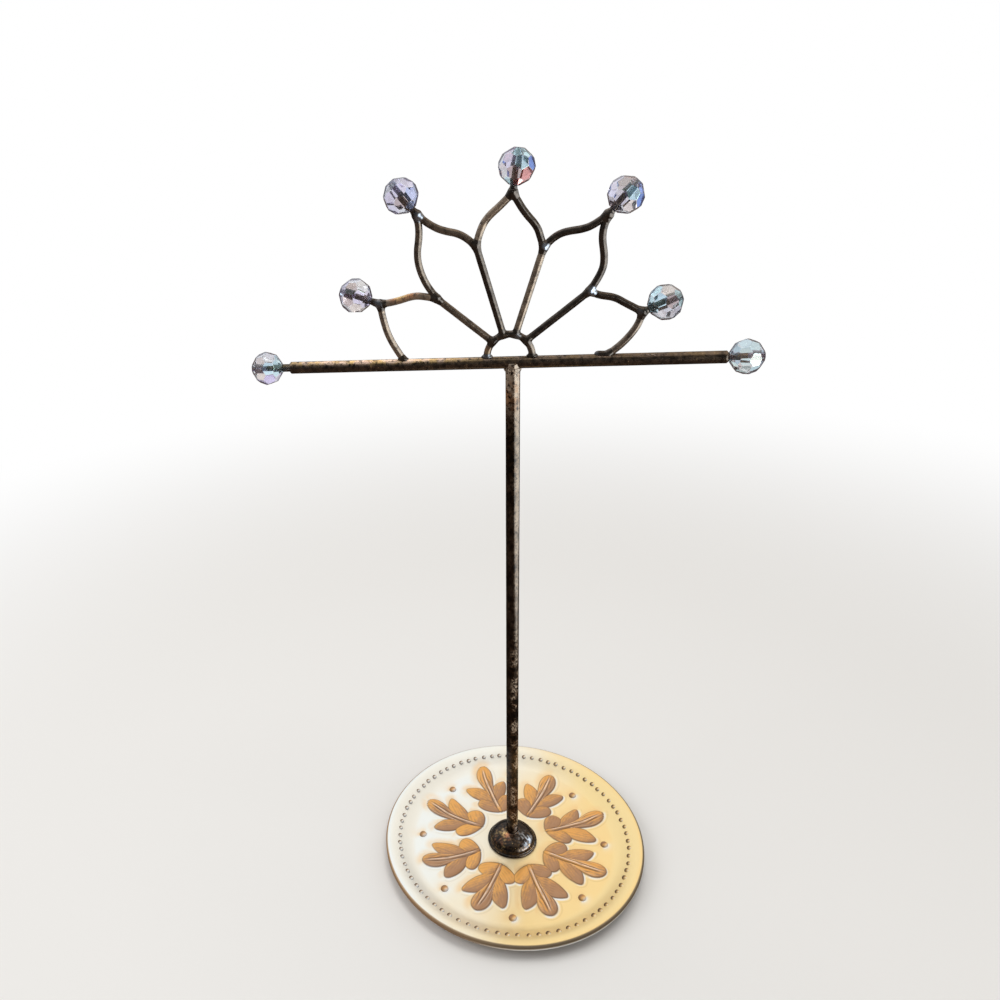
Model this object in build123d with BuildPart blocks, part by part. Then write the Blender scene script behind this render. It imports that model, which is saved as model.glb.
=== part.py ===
from build123d import *
from math import cos, radians, sin, tan
import os

# Jewellery stand, about 310 mm tall: a round embossed foot plate, a slim post, a crossbar with
# a crystal bead at each end, and above it a fan of five hand-bent wire petals, each tipped with
# a bead. Everything above the plate is rod and wire, brazed together. The front faces -Y.

# Foot plate, a cast saucer: a flat floor and a rim that flares up all round
plate_diameter = 121.5
plate_underside = 0.4
plate_dish_floor = 2.8
plate_rim_rise = 5.0
plate_rim_width = 14.25
plate_edge_thickness = 2.7
plate_edge_round = 1.0

# Felt pad in a recess under the plate, and its access hole for the screw
pad_thickness = 1.0
pad_recess_margin = 4.0
pad_recess_clearance = 0.5
pad_hole_diameter = 12.0

# Leaves of the rosette: how many, and how far they stand up
leaf_count = 8
leaf_start_angle = 22.5
leaf_relief = 0.75
leaf_draft = 32.0
relief_root = 0.4

# Leaf: the central lobe and its midrib run from near the boss to near the dish's edge
leaf_base_radius = 15.6
leaf_tip_margin = 1.1
central_lobe_half_width = 3.9
midrib_start_radius = 17.0
midrib_tip_margin = 3.4
midrib_half_width = 1.2
midrib_relief = 1.05

# Side lobes of a leaf: inner end from the plate's centre, sideways offset, length, half width
# and angle to the leaf's axis
side_lobe = (21.4, 0.5, 17.0, 3.9, 32.4)
base_lobe = (15.8, 0.8, 10.6, 3.3, 52.5)

# Studs between the leaves, and the beaded ring half way up the rim
stud_inset = 3.3
stud_diameter = 3.2
stud_relief = 1.0
ring_dot_count = 78
ring_dot_sides = 6
ring_inset = 6.65
ring_rise = 3.35
ring_dot_diameter = 1.9
ring_dot_relief = 0.55
ring_dot_draft = 20.0

# Boss that covers the foot of the post
boss_diameter = 23.2
boss_flange = 1.2
boss_flange_ledge = 0.9
boss_height = 7.0
boss_bore_clearance = 0.05

# Post, and the weld that flares it into the crossbar
post_diameter = 5.4
post_weld_flare = 1.1
post_weld_drop = 1.8
post_weld_rise = 0.5

# Screw that holds the post from below
screw_diameter = 3.0
screw_length = 9.0
screw_head_diameter = 5.4
screw_head_height = 1.2
screw_head_inset = 0.1
screw_socket_width = 2.0
screw_socket_depth = 0.8
screw_thread_clearance = 0.03
screw_hole_clearance = 0.2
screw_tip_clearance = 1.5

# Crossbar, turned down at both ends to carry a bead
crossbar_height = 237.9
crossbar_diameter = 4.5
crossbar_left = 83.2
crossbar_right = 74.6
crossbar_neck_diameter = 2.9
crossbar_neck_left = 3.0
crossbar_neck_right = 0.4
crossbar_end_chamfer = 0.5

# Half ring that stands on the crossbar and carries the four spokes
arch_centre = -1.2
arch_radius = 8.1

# Wire of the fan, its brazed joints, and the pins that carry the beads
wire_diameter = 2.6
braze_diameter = 3.9
neck_diameter = 2.4
pin_diameter = 2.0
pin_past_centre = 0.6

# Faceted crystal bead, drilled through
bead_across_flats = 11.4
bead_length = 11.6
bead_facets = 8
bead_waist_tilt = 19.0
bead_shoulder_tilt = 54.0
bead_bore_clearance = 0.05

# Fan layout: sideways place and rise above the crossbar's axis
tip_left_low = (-47.3, 22.5)
tip_left_high = (-32.6, 52.3)
tip_top = (-0.1, 57.9)
tip_right_high = (31.4, 49.4)
tip_right_low = (44.6, 16.7)
joint_left_outer = (-26.8, 23.8)
joint_left_inner = (-12.6, 41.2)
joint_right_inner = (10.4, 39.7)
joint_right_outer = (26.3, 24.5)
foot_left = (-38.7, 0.0)
foot_right = (30.4, 0.0)

# Petal wires: each runs from a tip through its hand-made bends to a joint or to the crossbar
petal_wires = {
    "petal_left_low_upper": [tip_left_low, (-41.3, 23.3), (-34.9, 25.2), (-30.4, 24.6),
                             joint_left_outer],
    "petal_left_low_side": [tip_left_low, (-46.6, 17.0), (-44.6, 9.6), foot_left],
    "petal_left_high_side": [tip_left_high, (-31.9, 46.4), (-33.5, 38.2), (-31.2, 30.0),
                             joint_left_outer],
    "petal_left_high_inner": [tip_left_high, (-28.5, 49.0), (-24.2, 46.8), (-17.6, 45.4),
                              joint_left_inner],
    "petal_top_left": [tip_top, (-3.7, 54.4), (-8.9, 50.2), (-11.1, 46.4), joint_left_inner],
    "petal_top_right": [tip_top, (3.7, 51.6), (8.1, 46.8), (9.4, 42.7), joint_right_inner],
    "petal_right_high_inner": [tip_right_high, (28.3, 47.3), (24.3, 45.2), (16.9, 44.6),
                               (13.2, 42.6), joint_right_inner],
    "petal_right_high_side": [tip_right_high, (29.4, 43.4), (30.9, 35.3), (30.2, 30.9),
                              joint_right_outer],
    "petal_right_low_upper": [tip_right_low, (38.6, 19.9), (34.7, 22.2), (29.6, 22.9),
                              joint_right_outer],
    "petal_right_low_side": [tip_right_low, (43.1, 11.6), (37.7, 5.0), foot_right],
}

# Spokes: the joint at the upper end, and the angle round the arch where the lower end lands
spokes = {
    "spoke_left_outer": (joint_left_outer, 137.5),
    "spoke_left_inner": (joint_left_inner, 106.0),
    "spoke_right_inner": (joint_right_inner, 75.0),
    "spoke_right_outer": (joint_right_outer, 43.0),
}

# Beads of the fan: the tip, the direction of its pin, and the bare neck between braze and bead
fan_beads = {
    "left_low": (tip_left_low, 159.0, 1.6),
    "left_high": (tip_left_high, 129.0, 0.5),
    "top": (tip_top, 81.0, 0.4),
    "right_high": (tip_right_high, 48.0, 0.2),
    "right_low": (tip_right_low, 23.0, 0.2),
}

# Sizes that follow from the ones above
plate_radius = plate_diameter / 2
plate_rim_top = plate_dish_floor + plate_rim_rise
plate_floor_radius = plate_radius - plate_rim_width
pad_recess_radius = plate_floor_radius - pad_recess_margin
ring_radius = plate_radius - ring_inset
ring_seat = plate_dish_floor + ring_rise
boss_dome_radius = boss_diameter / 2 - boss_flange_ledge
central_lobe = (leaf_base_radius, 0.0, plate_floor_radius - leaf_tip_margin - leaf_base_radius,
                central_lobe_half_width, 0.0)
midrib = (midrib_start_radius, 0.0,
          plate_floor_radius - midrib_tip_margin - midrib_start_radius, midrib_half_width, 0.0)
crossbar_radius = crossbar_diameter / 2
crossbar_axis = Axis((0, 0, crossbar_height), (1, 0, 0))
fan_plane = Plane(origin=(0, 0, crossbar_height), x_dir=(1, 0, 0), z_dir=(0, -1, 0))
arch_foot = (arch_centre, crossbar_radius)
bore_radius = pin_diameter / 2 + bead_bore_clearance
bead_reach = bead_length / 2
screw_head_bottom = pad_thickness + screw_head_inset
screw_head_top = screw_head_bottom + screw_head_height
screw_tip = screw_head_bottom + screw_length

os.makedirs("parts", exist_ok=True)


def save(piece, name):
    piece.label = name
    export_step(piece, f"parts/{name}.step")


def step_from(point, angle, distance):
    return (point[0] + distance * cos(radians(angle)), point[1] + distance * sin(radians(angle)))


def bend_radii(points):
    """Bend at each inner point, as large as the shorter of its two runs allows"""
    radii = []
    for before, here, after in zip(points, points[1:], points[2:]):
        first = Vector(*here) - Vector(*before)
        second = Vector(*after) - Vector(*here)
        half_turn = radians(first.get_angle(second)) / 2
        radii.append(0.45 * min(first.length, second.length) / tan(half_turn))
    return radii


def bent_wire(points, meets):
    """Round wire through points of the fan's plane, coped to the pieces that it meets"""
    with BuildPart() as wire:
        with BuildLine(fan_plane) as path:
            if len(points) > 2:
                FilletPolyline(*points, radius=bend_radii(points))
            else:
                Line(*points)
        with BuildSketch(Plane(origin=path.line @ 0, z_dir=path.line % 0)):
            Circle(wire_diameter / 2)
        sweep(path=path.line)
        for neighbour in meets:
            add(neighbour, mode=Mode.SUBTRACT)
    return wire.part.solids().sort_by(SortBy.VOLUME)[-1]


def touching(points, pieces):
    """The pieces that share an end point with a wire"""
    ends = (points[0], points[-1])
    return [piece for piece, piece_ends in pieces if any(end in piece_ends for end in ends)]


def fan_location(point, angle=90.0):
    """Place in the fan's plane whose own Z axis points along angle"""
    origin = fan_plane.from_local_coords(point)
    direction = Vector(cos(radians(angle)), 0, sin(radians(angle)))
    return Plane(origin=origin, x_dir=(0, 1, 0), z_dir=direction).location


def lobe(shape, rise):
    """One leaf lobe: a pointed oval with drafted sides"""
    inner, offset, length, half_width, angle = shape
    foot = Location((inner, offset, plate_dish_floor - relief_root), (0, 0, angle))
    with BuildPart() as oval:
        with BuildSketch(Plane(foot)):
            with BuildLine():
                ThreePointArc((0, 0), (length / 2, -half_width), (length, 0))
                ThreePointArc((length, 0), (length / 2, half_width), (0, 0))
            make_face()
        extrude(amount=relief_root + rise, taper=leaf_draft)
    return oval.part


# One leaf: a long central lobe with its midrib, a pair of side lobes and a pair at the base
with BuildPart() as leaf:
    add(lobe(central_lobe, leaf_relief))
    for shape in (side_lobe, base_lobe):
        one_side = lobe(shape, leaf_relief)
        add(one_side)
        add(mirror(one_side, about=Plane.XZ))
    add(lobe(midrib, midrib_relief))

# Foot plate: a turned saucer, the rosette and the studs on its floor, the ring on its rim
with BuildPart() as base_plate:
    with BuildSketch(Plane.XZ):
        with BuildLine():
            Polyline((plate_floor_radius, plate_dish_floor), (0, plate_dish_floor),
                     (0, pad_thickness), (pad_recess_radius, pad_thickness),
                     (pad_recess_radius, plate_underside), (plate_floor_radius, plate_underside),
                     (plate_radius, plate_rim_top - plate_edge_thickness),
                     (plate_radius, plate_rim_top))
            Spline((plate_radius, plate_rim_top), (ring_radius, ring_seat),
                   (plate_floor_radius, plate_dish_floor), tangents=((-1, -0.2), (-1, 0)))
        make_face()
    revolve(axis=Axis.Z)
    rim_edges = base_plate.edges().filter_by(GeomType.CIRCLE).filter_by(
        lambda edge: abs(edge.radius - plate_radius) < 0.01)
    fillet(rim_edges, plate_edge_round)
    with PolarLocations(0, leaf_count, start_angle=leaf_start_angle):
        add(leaf.part)
    with BuildSketch(Plane.XY.offset(plate_dish_floor - relief_root)):
        with PolarLocations(plate_floor_radius - stud_inset, leaf_count):
            Circle(stud_diameter / 2)
    extrude(amount=relief_root + stud_relief, taper=leaf_draft)
    with BuildSketch(Plane.XY.offset(ring_seat - relief_root)):
        with PolarLocations(ring_radius, ring_dot_count):
            RegularPolygon(ring_dot_diameter / 2, ring_dot_sides)
    extrude(amount=relief_root + ring_dot_relief, taper=ring_dot_draft)
    with BuildSketch(Plane.XY.offset(screw_head_top)):
        Circle(screw_diameter / 2 + screw_hole_clearance)
    extrude(amount=plate_dish_floor - screw_head_top, mode=Mode.SUBTRACT)
    with BuildSketch(Plane.XY.offset(pad_thickness)):
        Circle(screw_head_diameter / 2 + screw_hole_clearance)
    with BuildSketch(Plane.XY.offset(screw_head_top)):
        Circle(screw_diameter / 2 + screw_hole_clearance)
    loft(mode=Mode.SUBTRACT)
save(base_plate.part, "base_plate")

# Felt pad that the stand rests on
with BuildPart() as base_pad:
    with BuildSketch():
        Circle(pad_recess_radius - pad_recess_clearance)
        Circle(pad_hole_diameter / 2, mode=Mode.SUBTRACT)
    extrude(amount=pad_thickness)
save(base_pad.part, "base_pad")

# Countersunk screw with a hexagon socket
with BuildPart() as base_screw:
    with BuildSketch(Plane.XY.offset(screw_head_bottom)):
        Circle(screw_head_diameter / 2)
    with BuildSketch(Plane.XY.offset(screw_head_top)):
        Circle(screw_diameter / 2)
    loft()
    with BuildSketch(Plane.XY.offset(screw_head_top)):
        Circle(screw_diameter / 2)
    extrude(amount=screw_tip - screw_head_top)
    chamfer(base_screw.faces().sort_by(Axis.Z)[-1].edges(), screw_diameter / 8)
    with BuildSketch(Plane.XY.offset(screw_head_bottom)):
        RegularPolygon(screw_socket_width / 2, 6, major_radius=False)
    extrude(amount=screw_socket_depth, mode=Mode.SUBTRACT)
save(base_screw.part, "base_screw")

# Boss: a low dome on a thin flange, bored for the post
with BuildPart() as post_boss:
    with BuildSketch(Plane.XZ):
        with BuildLine():
            dome_foot = plate_dish_floor + boss_flange
            EllipticalCenterArc((0, dome_foot), boss_dome_radius, boss_height - boss_flange,
                                start_angle=0, arc_size=90)
            Polyline((0, plate_dish_floor + boss_height), (0, plate_dish_floor),
                     (boss_diameter / 2, plate_dish_floor), (boss_diameter / 2, dome_foot),
                     (boss_dome_radius, dome_foot))
        make_face()
    revolve(axis=Axis.Z)
    flange_edge = post_boss.edges().filter_by(GeomType.CIRCLE).filter_by(
        lambda edge: abs(edge.radius - boss_diameter / 2) < 0.01).sort_by(Axis.Z)[-1]
    fillet(flange_edge, boss_flange_ledge / 2)
    with BuildSketch(Plane.XY.offset(plate_dish_floor)):
        Circle(post_diameter / 2 + boss_bore_clearance)
    extrude(amount=boss_height, mode=Mode.SUBTRACT)
save(post_boss.part, "post_boss")

# Crossbar: one turned rod, with a neck and a pin for a bead at each end
left_shoulder = -crossbar_left - crossbar_neck_left
right_shoulder = crossbar_right + crossbar_neck_right
with BuildPart() as crossbar:
    with BuildSketch(fan_plane):
        with BuildLine():
            Polyline((left_shoulder - bead_reach - pin_past_centre, 0),
                     (left_shoulder - bead_reach - pin_past_centre, pin_diameter / 2),
                     (left_shoulder, pin_diameter / 2),
                     (left_shoulder, crossbar_neck_diameter / 2),
                     (-crossbar_left, crossbar_neck_diameter / 2),
                     (-crossbar_left, crossbar_radius - crossbar_end_chamfer),
                     (-crossbar_left + crossbar_end_chamfer, crossbar_radius),
                     (crossbar_right - crossbar_end_chamfer, crossbar_radius),
                     (crossbar_right, crossbar_radius - crossbar_end_chamfer),
                     (crossbar_right, crossbar_neck_diameter / 2),
                     (right_shoulder, crossbar_neck_diameter / 2),
                     (right_shoulder, pin_diameter / 2),
                     (right_shoulder + bead_reach + pin_past_centre, pin_diameter / 2),
                     (right_shoulder + bead_reach + pin_past_centre, 0), close=True)
        make_face()
    revolve(axis=crossbar_axis)
save(crossbar.part, "crossbar")

# Post: stands on the plate inside the boss, tapped below, coped to the crossbar above
with BuildPart() as post:
    with BuildSketch(Plane.XY.offset(plate_dish_floor)):
        Circle(post_diameter / 2)
    extrude(amount=crossbar_height - plate_dish_floor)
    with BuildSketch(Plane.XY.offset(plate_dish_floor)):
        Circle(screw_diameter / 2 + screw_thread_clearance)
    extrude(amount=screw_tip - plate_dish_floor + screw_tip_clearance, mode=Mode.SUBTRACT)
    add(crossbar.part, mode=Mode.SUBTRACT)
save(post.part, "post")

# Weld under the crossbar, a small flare round the top of the post
weld_top = crossbar_height - crossbar_radius + post_weld_rise
with BuildPart() as post_weld:
    with BuildSketch(Plane.XZ):
        with BuildLine():
            inner = post_diameter / 2
            outer = inner + post_weld_flare
            low = weld_top - post_weld_rise - post_weld_drop
            ThreePointArc((inner, low), (inner + 0.3 * post_weld_flare, low + 0.6 * post_weld_drop),
                          (outer, weld_top))
            Polyline((outer, weld_top), (inner, weld_top), (inner, low))
        make_face()
    revolve(axis=Axis.Z)
    add(crossbar.part, mode=Mode.SUBTRACT)
save(post_weld.part, "post_weld")

# Arch: a half ring of wire whose legs are coped to the crossbar
with BuildPart() as fan_arch:
    with BuildLine(fan_plane) as arch_line:
        Line((arch_centre - arch_radius, 0), (arch_centre - arch_radius, crossbar_radius))
        ThreePointArc((arch_centre - arch_radius, crossbar_radius),
                      (arch_centre, crossbar_radius + arch_radius),
                      (arch_centre + arch_radius, crossbar_radius))
        Line((arch_centre + arch_radius, crossbar_radius), (arch_centre + arch_radius, 0))
    with BuildSketch(Plane(origin=arch_line.line @ 0, z_dir=arch_line.line % 0)):
        Circle(wire_diameter / 2)
    sweep(path=arch_line.line)
    add(crossbar.part, mode=Mode.SUBTRACT)
save(fan_arch.part, "fan_arch")

# Brazed joints of the fan, each a small ball that the wires end on
finished = [(crossbar.part, (foot_left, foot_right))]
with BuildPart() as braze_joints:
    for joint, _ in spokes.values():
        with Locations(fan_location(joint)):
            Sphere(braze_diameter / 2)
for ball, (joint, _) in zip(braze_joints.part.solids().sort_by(Axis.X), spokes.values()):
    finished.append((ball, (joint,)))
save(braze_joints.part, "braze_joints")

# Tip pins: the brazed ball of a tip with the neck and the pin that its bead sits on
for side, (tip, angle, gap) in fan_beads.items():
    seat = braze_diameter / 2 + gap
    with BuildPart() as tip_pin:
        with Locations(fan_location(tip, angle)):
            Sphere(braze_diameter / 2)
            Cylinder(neck_diameter / 2, seat, align=(Align.CENTER, Align.CENTER, Align.MIN))
            Cylinder(pin_diameter / 2, seat + bead_reach + pin_past_centre,
                     align=(Align.CENTER, Align.CENTER, Align.MIN))
    save(tip_pin.part, f"tip_pin_{side}")
    finished.append((tip_pin.part, (tip,)))

# Spokes, from the joints down to the arch
for name, (joint, angle) in spokes.items():
    landing = step_from(arch_foot, angle, arch_radius)
    spoke = bent_wire([joint, landing], touching([joint, landing], finished) + [fan_arch.part])
    save(spoke, name)
    finished.append((spoke, (joint,)))

# Petal wires, each coped to whatever already ends at its own two ends
for name, points in petal_wires.items():
    petal = bent_wire(points, touching(points, finished))
    save(petal, name)
    finished.append((petal, (points[0], points[-1])))

# Crystal bead: a drilled blank cut by rows of flat facets, staggered row by row
with BuildPart() as bead:
    Cylinder(bead_across_flats, bead_length)
    rows = [(bead_waist_tilt, 0.0), (-bead_waist_tilt, 0.5),
            (bead_shoulder_tilt, 0.5), (-bead_shoulder_tilt, 0.0)]
    for tilt, stagger in rows:
        for facet in range(bead_facets):
            turn = radians((facet + stagger) * 360 / bead_facets)
            normal = Vector(cos(turn) * cos(radians(tilt)), sin(turn) * cos(radians(tilt)),
                            sin(radians(tilt)))
            split(bisect_by=Plane(origin=normal * bead_across_flats / 2, z_dir=normal),
                  keep=Keep.BOTTOM)
    Cylinder(bore_radius, bead_length, mode=Mode.SUBTRACT)

# The seven beads on their pins
bead_places = {
    "bar_left": fan_location((left_shoulder - bead_reach, 0), 180.0),
    "bar_right": fan_location((right_shoulder + bead_reach, 0), 0.0),
}
for side, (tip, angle, gap) in fan_beads.items():
    centre = step_from(tip, angle, braze_diameter / 2 + gap + bead_reach)
    bead_places[side] = fan_location(centre, angle)
for side, place in bead_places.items():
    save(bead.part.moved(place), f"crystal_{side}")
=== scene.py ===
# Jewellery stand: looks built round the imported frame. Lengths below are millimetres unless said.
from math import cos, hypot, pi, radians, sin
import random

import bmesh
import bpy
from mathutils import Matrix, Vector, noise
import numpy as np


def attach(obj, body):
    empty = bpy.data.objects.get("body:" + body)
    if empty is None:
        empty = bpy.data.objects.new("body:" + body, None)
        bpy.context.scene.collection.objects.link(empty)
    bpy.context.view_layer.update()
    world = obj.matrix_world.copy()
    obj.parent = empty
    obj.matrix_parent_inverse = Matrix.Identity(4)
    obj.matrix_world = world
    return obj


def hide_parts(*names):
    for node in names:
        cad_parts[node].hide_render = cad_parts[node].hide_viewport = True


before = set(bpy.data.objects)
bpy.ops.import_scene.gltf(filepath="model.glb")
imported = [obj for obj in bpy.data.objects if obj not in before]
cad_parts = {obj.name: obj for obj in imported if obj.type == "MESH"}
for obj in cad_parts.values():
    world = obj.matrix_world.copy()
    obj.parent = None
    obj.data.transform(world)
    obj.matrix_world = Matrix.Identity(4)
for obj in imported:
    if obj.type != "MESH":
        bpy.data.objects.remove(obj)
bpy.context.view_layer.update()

mm = 0.001


# Shader helpers: a socket whose operators add Math nodes, and a tree that nodes are added to
class Value:
    def __init__(self, shader, socket):
        self.shader = shader
        self.socket = socket

    def maths(self, operation, first, second):
        return self.shader.node("Math", {"operation": operation}, {0: first, 1: second})

    def __add__(self, other):
        return self.maths("ADD", self, other)

    def __radd__(self, other):
        return self.maths("ADD", other, self)

    def __sub__(self, other):
        return self.maths("SUBTRACT", self, other)

    def __rsub__(self, other):
        return self.maths("SUBTRACT", other, self)

    def __mul__(self, other):
        return self.maths("MULTIPLY", self, other)

    def __rmul__(self, other):
        return self.maths("MULTIPLY", other, self)


class Shader:
    def __init__(self, name, owners=bpy.data.materials):
        self.owner = owners.new(name)
        self.owner.use_nodes = True
        self.tree = self.owner.node_tree
        self.tree.nodes.clear()

    def node(self, kind, settings=None, inputs=None, output=0):
        made = self.tree.nodes.new("ShaderNode" + kind)
        for key, value in (settings or {}).items():
            if key == "stops":
                self.setStops(made.color_ramp, value)
            else:
                setattr(made, key, value)
        for key, value in (inputs or {}).items():
            if isinstance(value, Value):
                self.tree.links.new(value.socket, made.inputs[key])
            else:
                made.inputs[key].default_value = value
        return Value(self, made.outputs[output]) if len(made.outputs) else None

    def setStops(self, ramp, stops):
        while len(ramp.elements) < len(stops):
            ramp.elements.new(0.5)
        for element, (place, colour) in zip(ramp.elements, stops):
            element.position = place
            element.color = colour

    # Several outputs of one node
    def outputs(self, kind, names, inputs=None):
        made = self.node(kind, None, inputs).socket.node
        return [Value(self, made.outputs[name]) for name in names]

    def place(self):
        return self.node("TexCoord", output="Object")    # in metres

    def speckle(self, size, detail=3.0, roughness=0.55, stretch=(1, 1, 1)):
        spread = self.node("Mapping", None, {"Vector": self.place(), "Scale": stretch})
        return self.node("TexNoise", None, {"Vector": spread, "Scale": 1 / (size * mm),
                                            "Detail": detail, "Roughness": roughness})

    def attribute(self, name, output="Fac"):
        return self.node("Attribute", {"attribute_name": name}, output=output)

    def ramp(self, value, stops):
        return self.node("ValToRGB", {"stops": stops}, {0: value})

    def step(self, value, low, high):
        return self.node("MapRange", {"interpolation_type": "SMOOTHSTEP"},
                         {"Value": value, "From Min": low, "From Max": high})

    def mix(self, factor, first, second):
        return self.node("Mix", {"data_type": "RGBA"}, {0: factor, 6: first, 7: second}, output=2)

    def mixShaders(self, factor, first, second):
        return self.node("MixShader", None, {0: factor, 1: first, 2: second})

    def bump(self, height, strength, distance):
        return self.node("Bump", None, {"Height": height, "Strength": strength,
                                        "Distance": distance * mm})

    def surface(self, inputs):
        return self.node("BsdfPrincipled", None, inputs)

    def finish(self, surface, output="OutputMaterial"):
        self.node(output, None, {0: surface})
        return self.owner


def tone(red, green, blue):
    return (red, green, blue, 1.0)


# Materials
bronzeLook = {
    "black": tone(0.009, 0.007, 0.007), "brown": tone(0.054, 0.034, 0.022),
    "steel": tone(0.046, 0.042, 0.041), "pale": tone(0.36, 0.27, 0.20),
    "brass": tone(0.72, 0.48, 0.20), "copper": tone(0.50, 0.21, 0.09),
    "tin": tone(0.34, 0.37, 0.43), "edgeTint": tone(0.30, 0.27, 0.25),
    "sand": tone(0.34, 0.18, 0.09), "ash": tone(0.42, 0.33, 0.25), "peach": tone(0.84, 0.60, 0.45),
    "patchSize": 6.0, "grainSize": 0.6, "patchShare": 0.3, "grainShare": 0.6, "evenDepth": 0.55,
    "depthRange": (0.42, 0.60), "paleRange": (0.20, 0.60), "wornRange": (0.44, 0.56),
    "fleckPatches": (0.42, 0.58), "bareShineRange": (0.33, 0.54), "speckWidth": 0.10, "fleckShare": 0.8,
    "metallic": 0.9, "bareShineLoss": 0.35, "paleLoss": 0.45, "fleckLoss": 0.45,
    "roughLow": 0.17, "roughHigh": 0.32, "coatFull": 1.1, "coatRoughness": 0.10, "relief": 0.12,
}


# Dark patina: mottled brown, brass specks, and rubbed, pale or tinned patches where the mesh asks; on
# the bar's top, the post's right side and the boss, some of these patches are painted highlights
def antiqueBronze(name, specks, ground="brown", coat=0.5, mottled=1.0, mottleSize=1.7,
                  worn=("copper", "brass"), speckLow=0.56, bump=0.14):
    look = bronzeLook
    shader = Shader(name)
    patches = shader.speckle(look["patchSize"], 4.0, 0.6)
    mottle = shader.speckle(mottleSize, 5.0, 0.65)
    grain = shader.speckle(look["grainSize"], 3.0, 0.6)
    pale = shader.attribute("pale")
    clouds = mottle * (1 - look["patchShare"]) + patches * look["patchShare"]
    dust = mottle * (1 - look["grainShare"]) + grain * look["grainShare"]
    depth = shader.step(clouds, *look["depthRange"]) * mottled + (1 - mottled) * look["evenDepth"]
    colour = shader.mix(depth, look["black"], look[ground])
    colour = shader.mix(pale * shader.step(mottle, *look["paleRange"]), colour, look["pale"])
    wornMetal = shader.mix(shader.step(patches, *look["wornRange"]), look[worn[0]], look[worn[1]])
    flecks = shader.step(dust, speckLow, speckLow + look["speckWidth"])
    flecks = flecks * shader.step(patches, *look["fleckPatches"]) * specks
    flecks = flecks * (1 - shader.attribute("plain"))
    colour = shader.mix(flecks * look["fleckShare"], colour, wornMetal)
    # Bare metal where the mesh asks: real wear, and on the bar's top and the boss's glint a painted
    # highlight
    bareAndPaintedShine = shader.attribute("rub") * shader.step(mottle, *look["bareShineRange"])
    colour = shader.mix(bareAndPaintedShine, colour, wornMetal)
    # Tinned patches: solder on the joints, and a painted cool reflection on the boss
    colour = shader.mix(shader.attribute("tin"), colour, look["tin"])
    metal = look["metallic"] - bareAndPaintedShine * look["bareShineLoss"] - pale * look["paleLoss"]
    return shader.finish(shader.surface({
        "Base Color": colour, "Metallic": metal - flecks * look["fleckLoss"],
        "Roughness": look["roughLow"] + mottle * (look["roughHigh"] - look["roughLow"]),
        "Specular Tint": look["edgeTint"], "Coat Weight": (look["coatFull"] - grain) * coat,
        "Coat Roughness": look["coatRoughness"],
        "Normal": shader.bump(grain * 0.4 + mottle * 0.6, bump, look["relief"])}))


goldLook = {
    # The pale and warm ground colours are painted light, paler and cooler on one side of the plate and
    # warmer on the other; the orange one is a painted warm reflection
    "pale": tone(0.95, 0.965, 0.94), "warm": tone(1.0, 0.76, 0.37), "glow": tone(0.95, 0.63, 0.29),
    # The white-blue colour is a painted highlight, made less metallic where it lies
    "bright": tone(0.92, 0.97, 1.0), "leaf": tone(0.47, 0.255, 0.135),
    "leafLight": tone(0.90, 0.45, 0.12), "line": tone(0.095, 0.052, 0.028),
    "rib": tone(1.0, 0.78, 0.62), "edgeWarm": tone(0.50, 0.27, 0.10),
    "edgeGrey": tone(0.17, 0.135, 0.105), "patchSize": 24.0, "toneSize": 7.0, "fineSize": 1.8,
    "paintedLightWay": (0.90, -0.30), "paintedLightWaves": 0.03, "paintedLightRange": (-0.040, 0.028),    # in metres
    "paintedWarmReflectionRange": (0.20, 0.55), "giltWaves": (1.2, 1.1), "giltRange": (0.05, 1.0),
    "shares": {"glow": 0.80, "bright": 0.9, "gilt": 0.9, "rib": 0.92, "line": 0.9},
    "metallic": 0.54, "paintedHighlightLoss": 0.42, "roughLow": 0.33, "roughSpread": 0.10, "grain": (0.14, 0.10),
}


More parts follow.
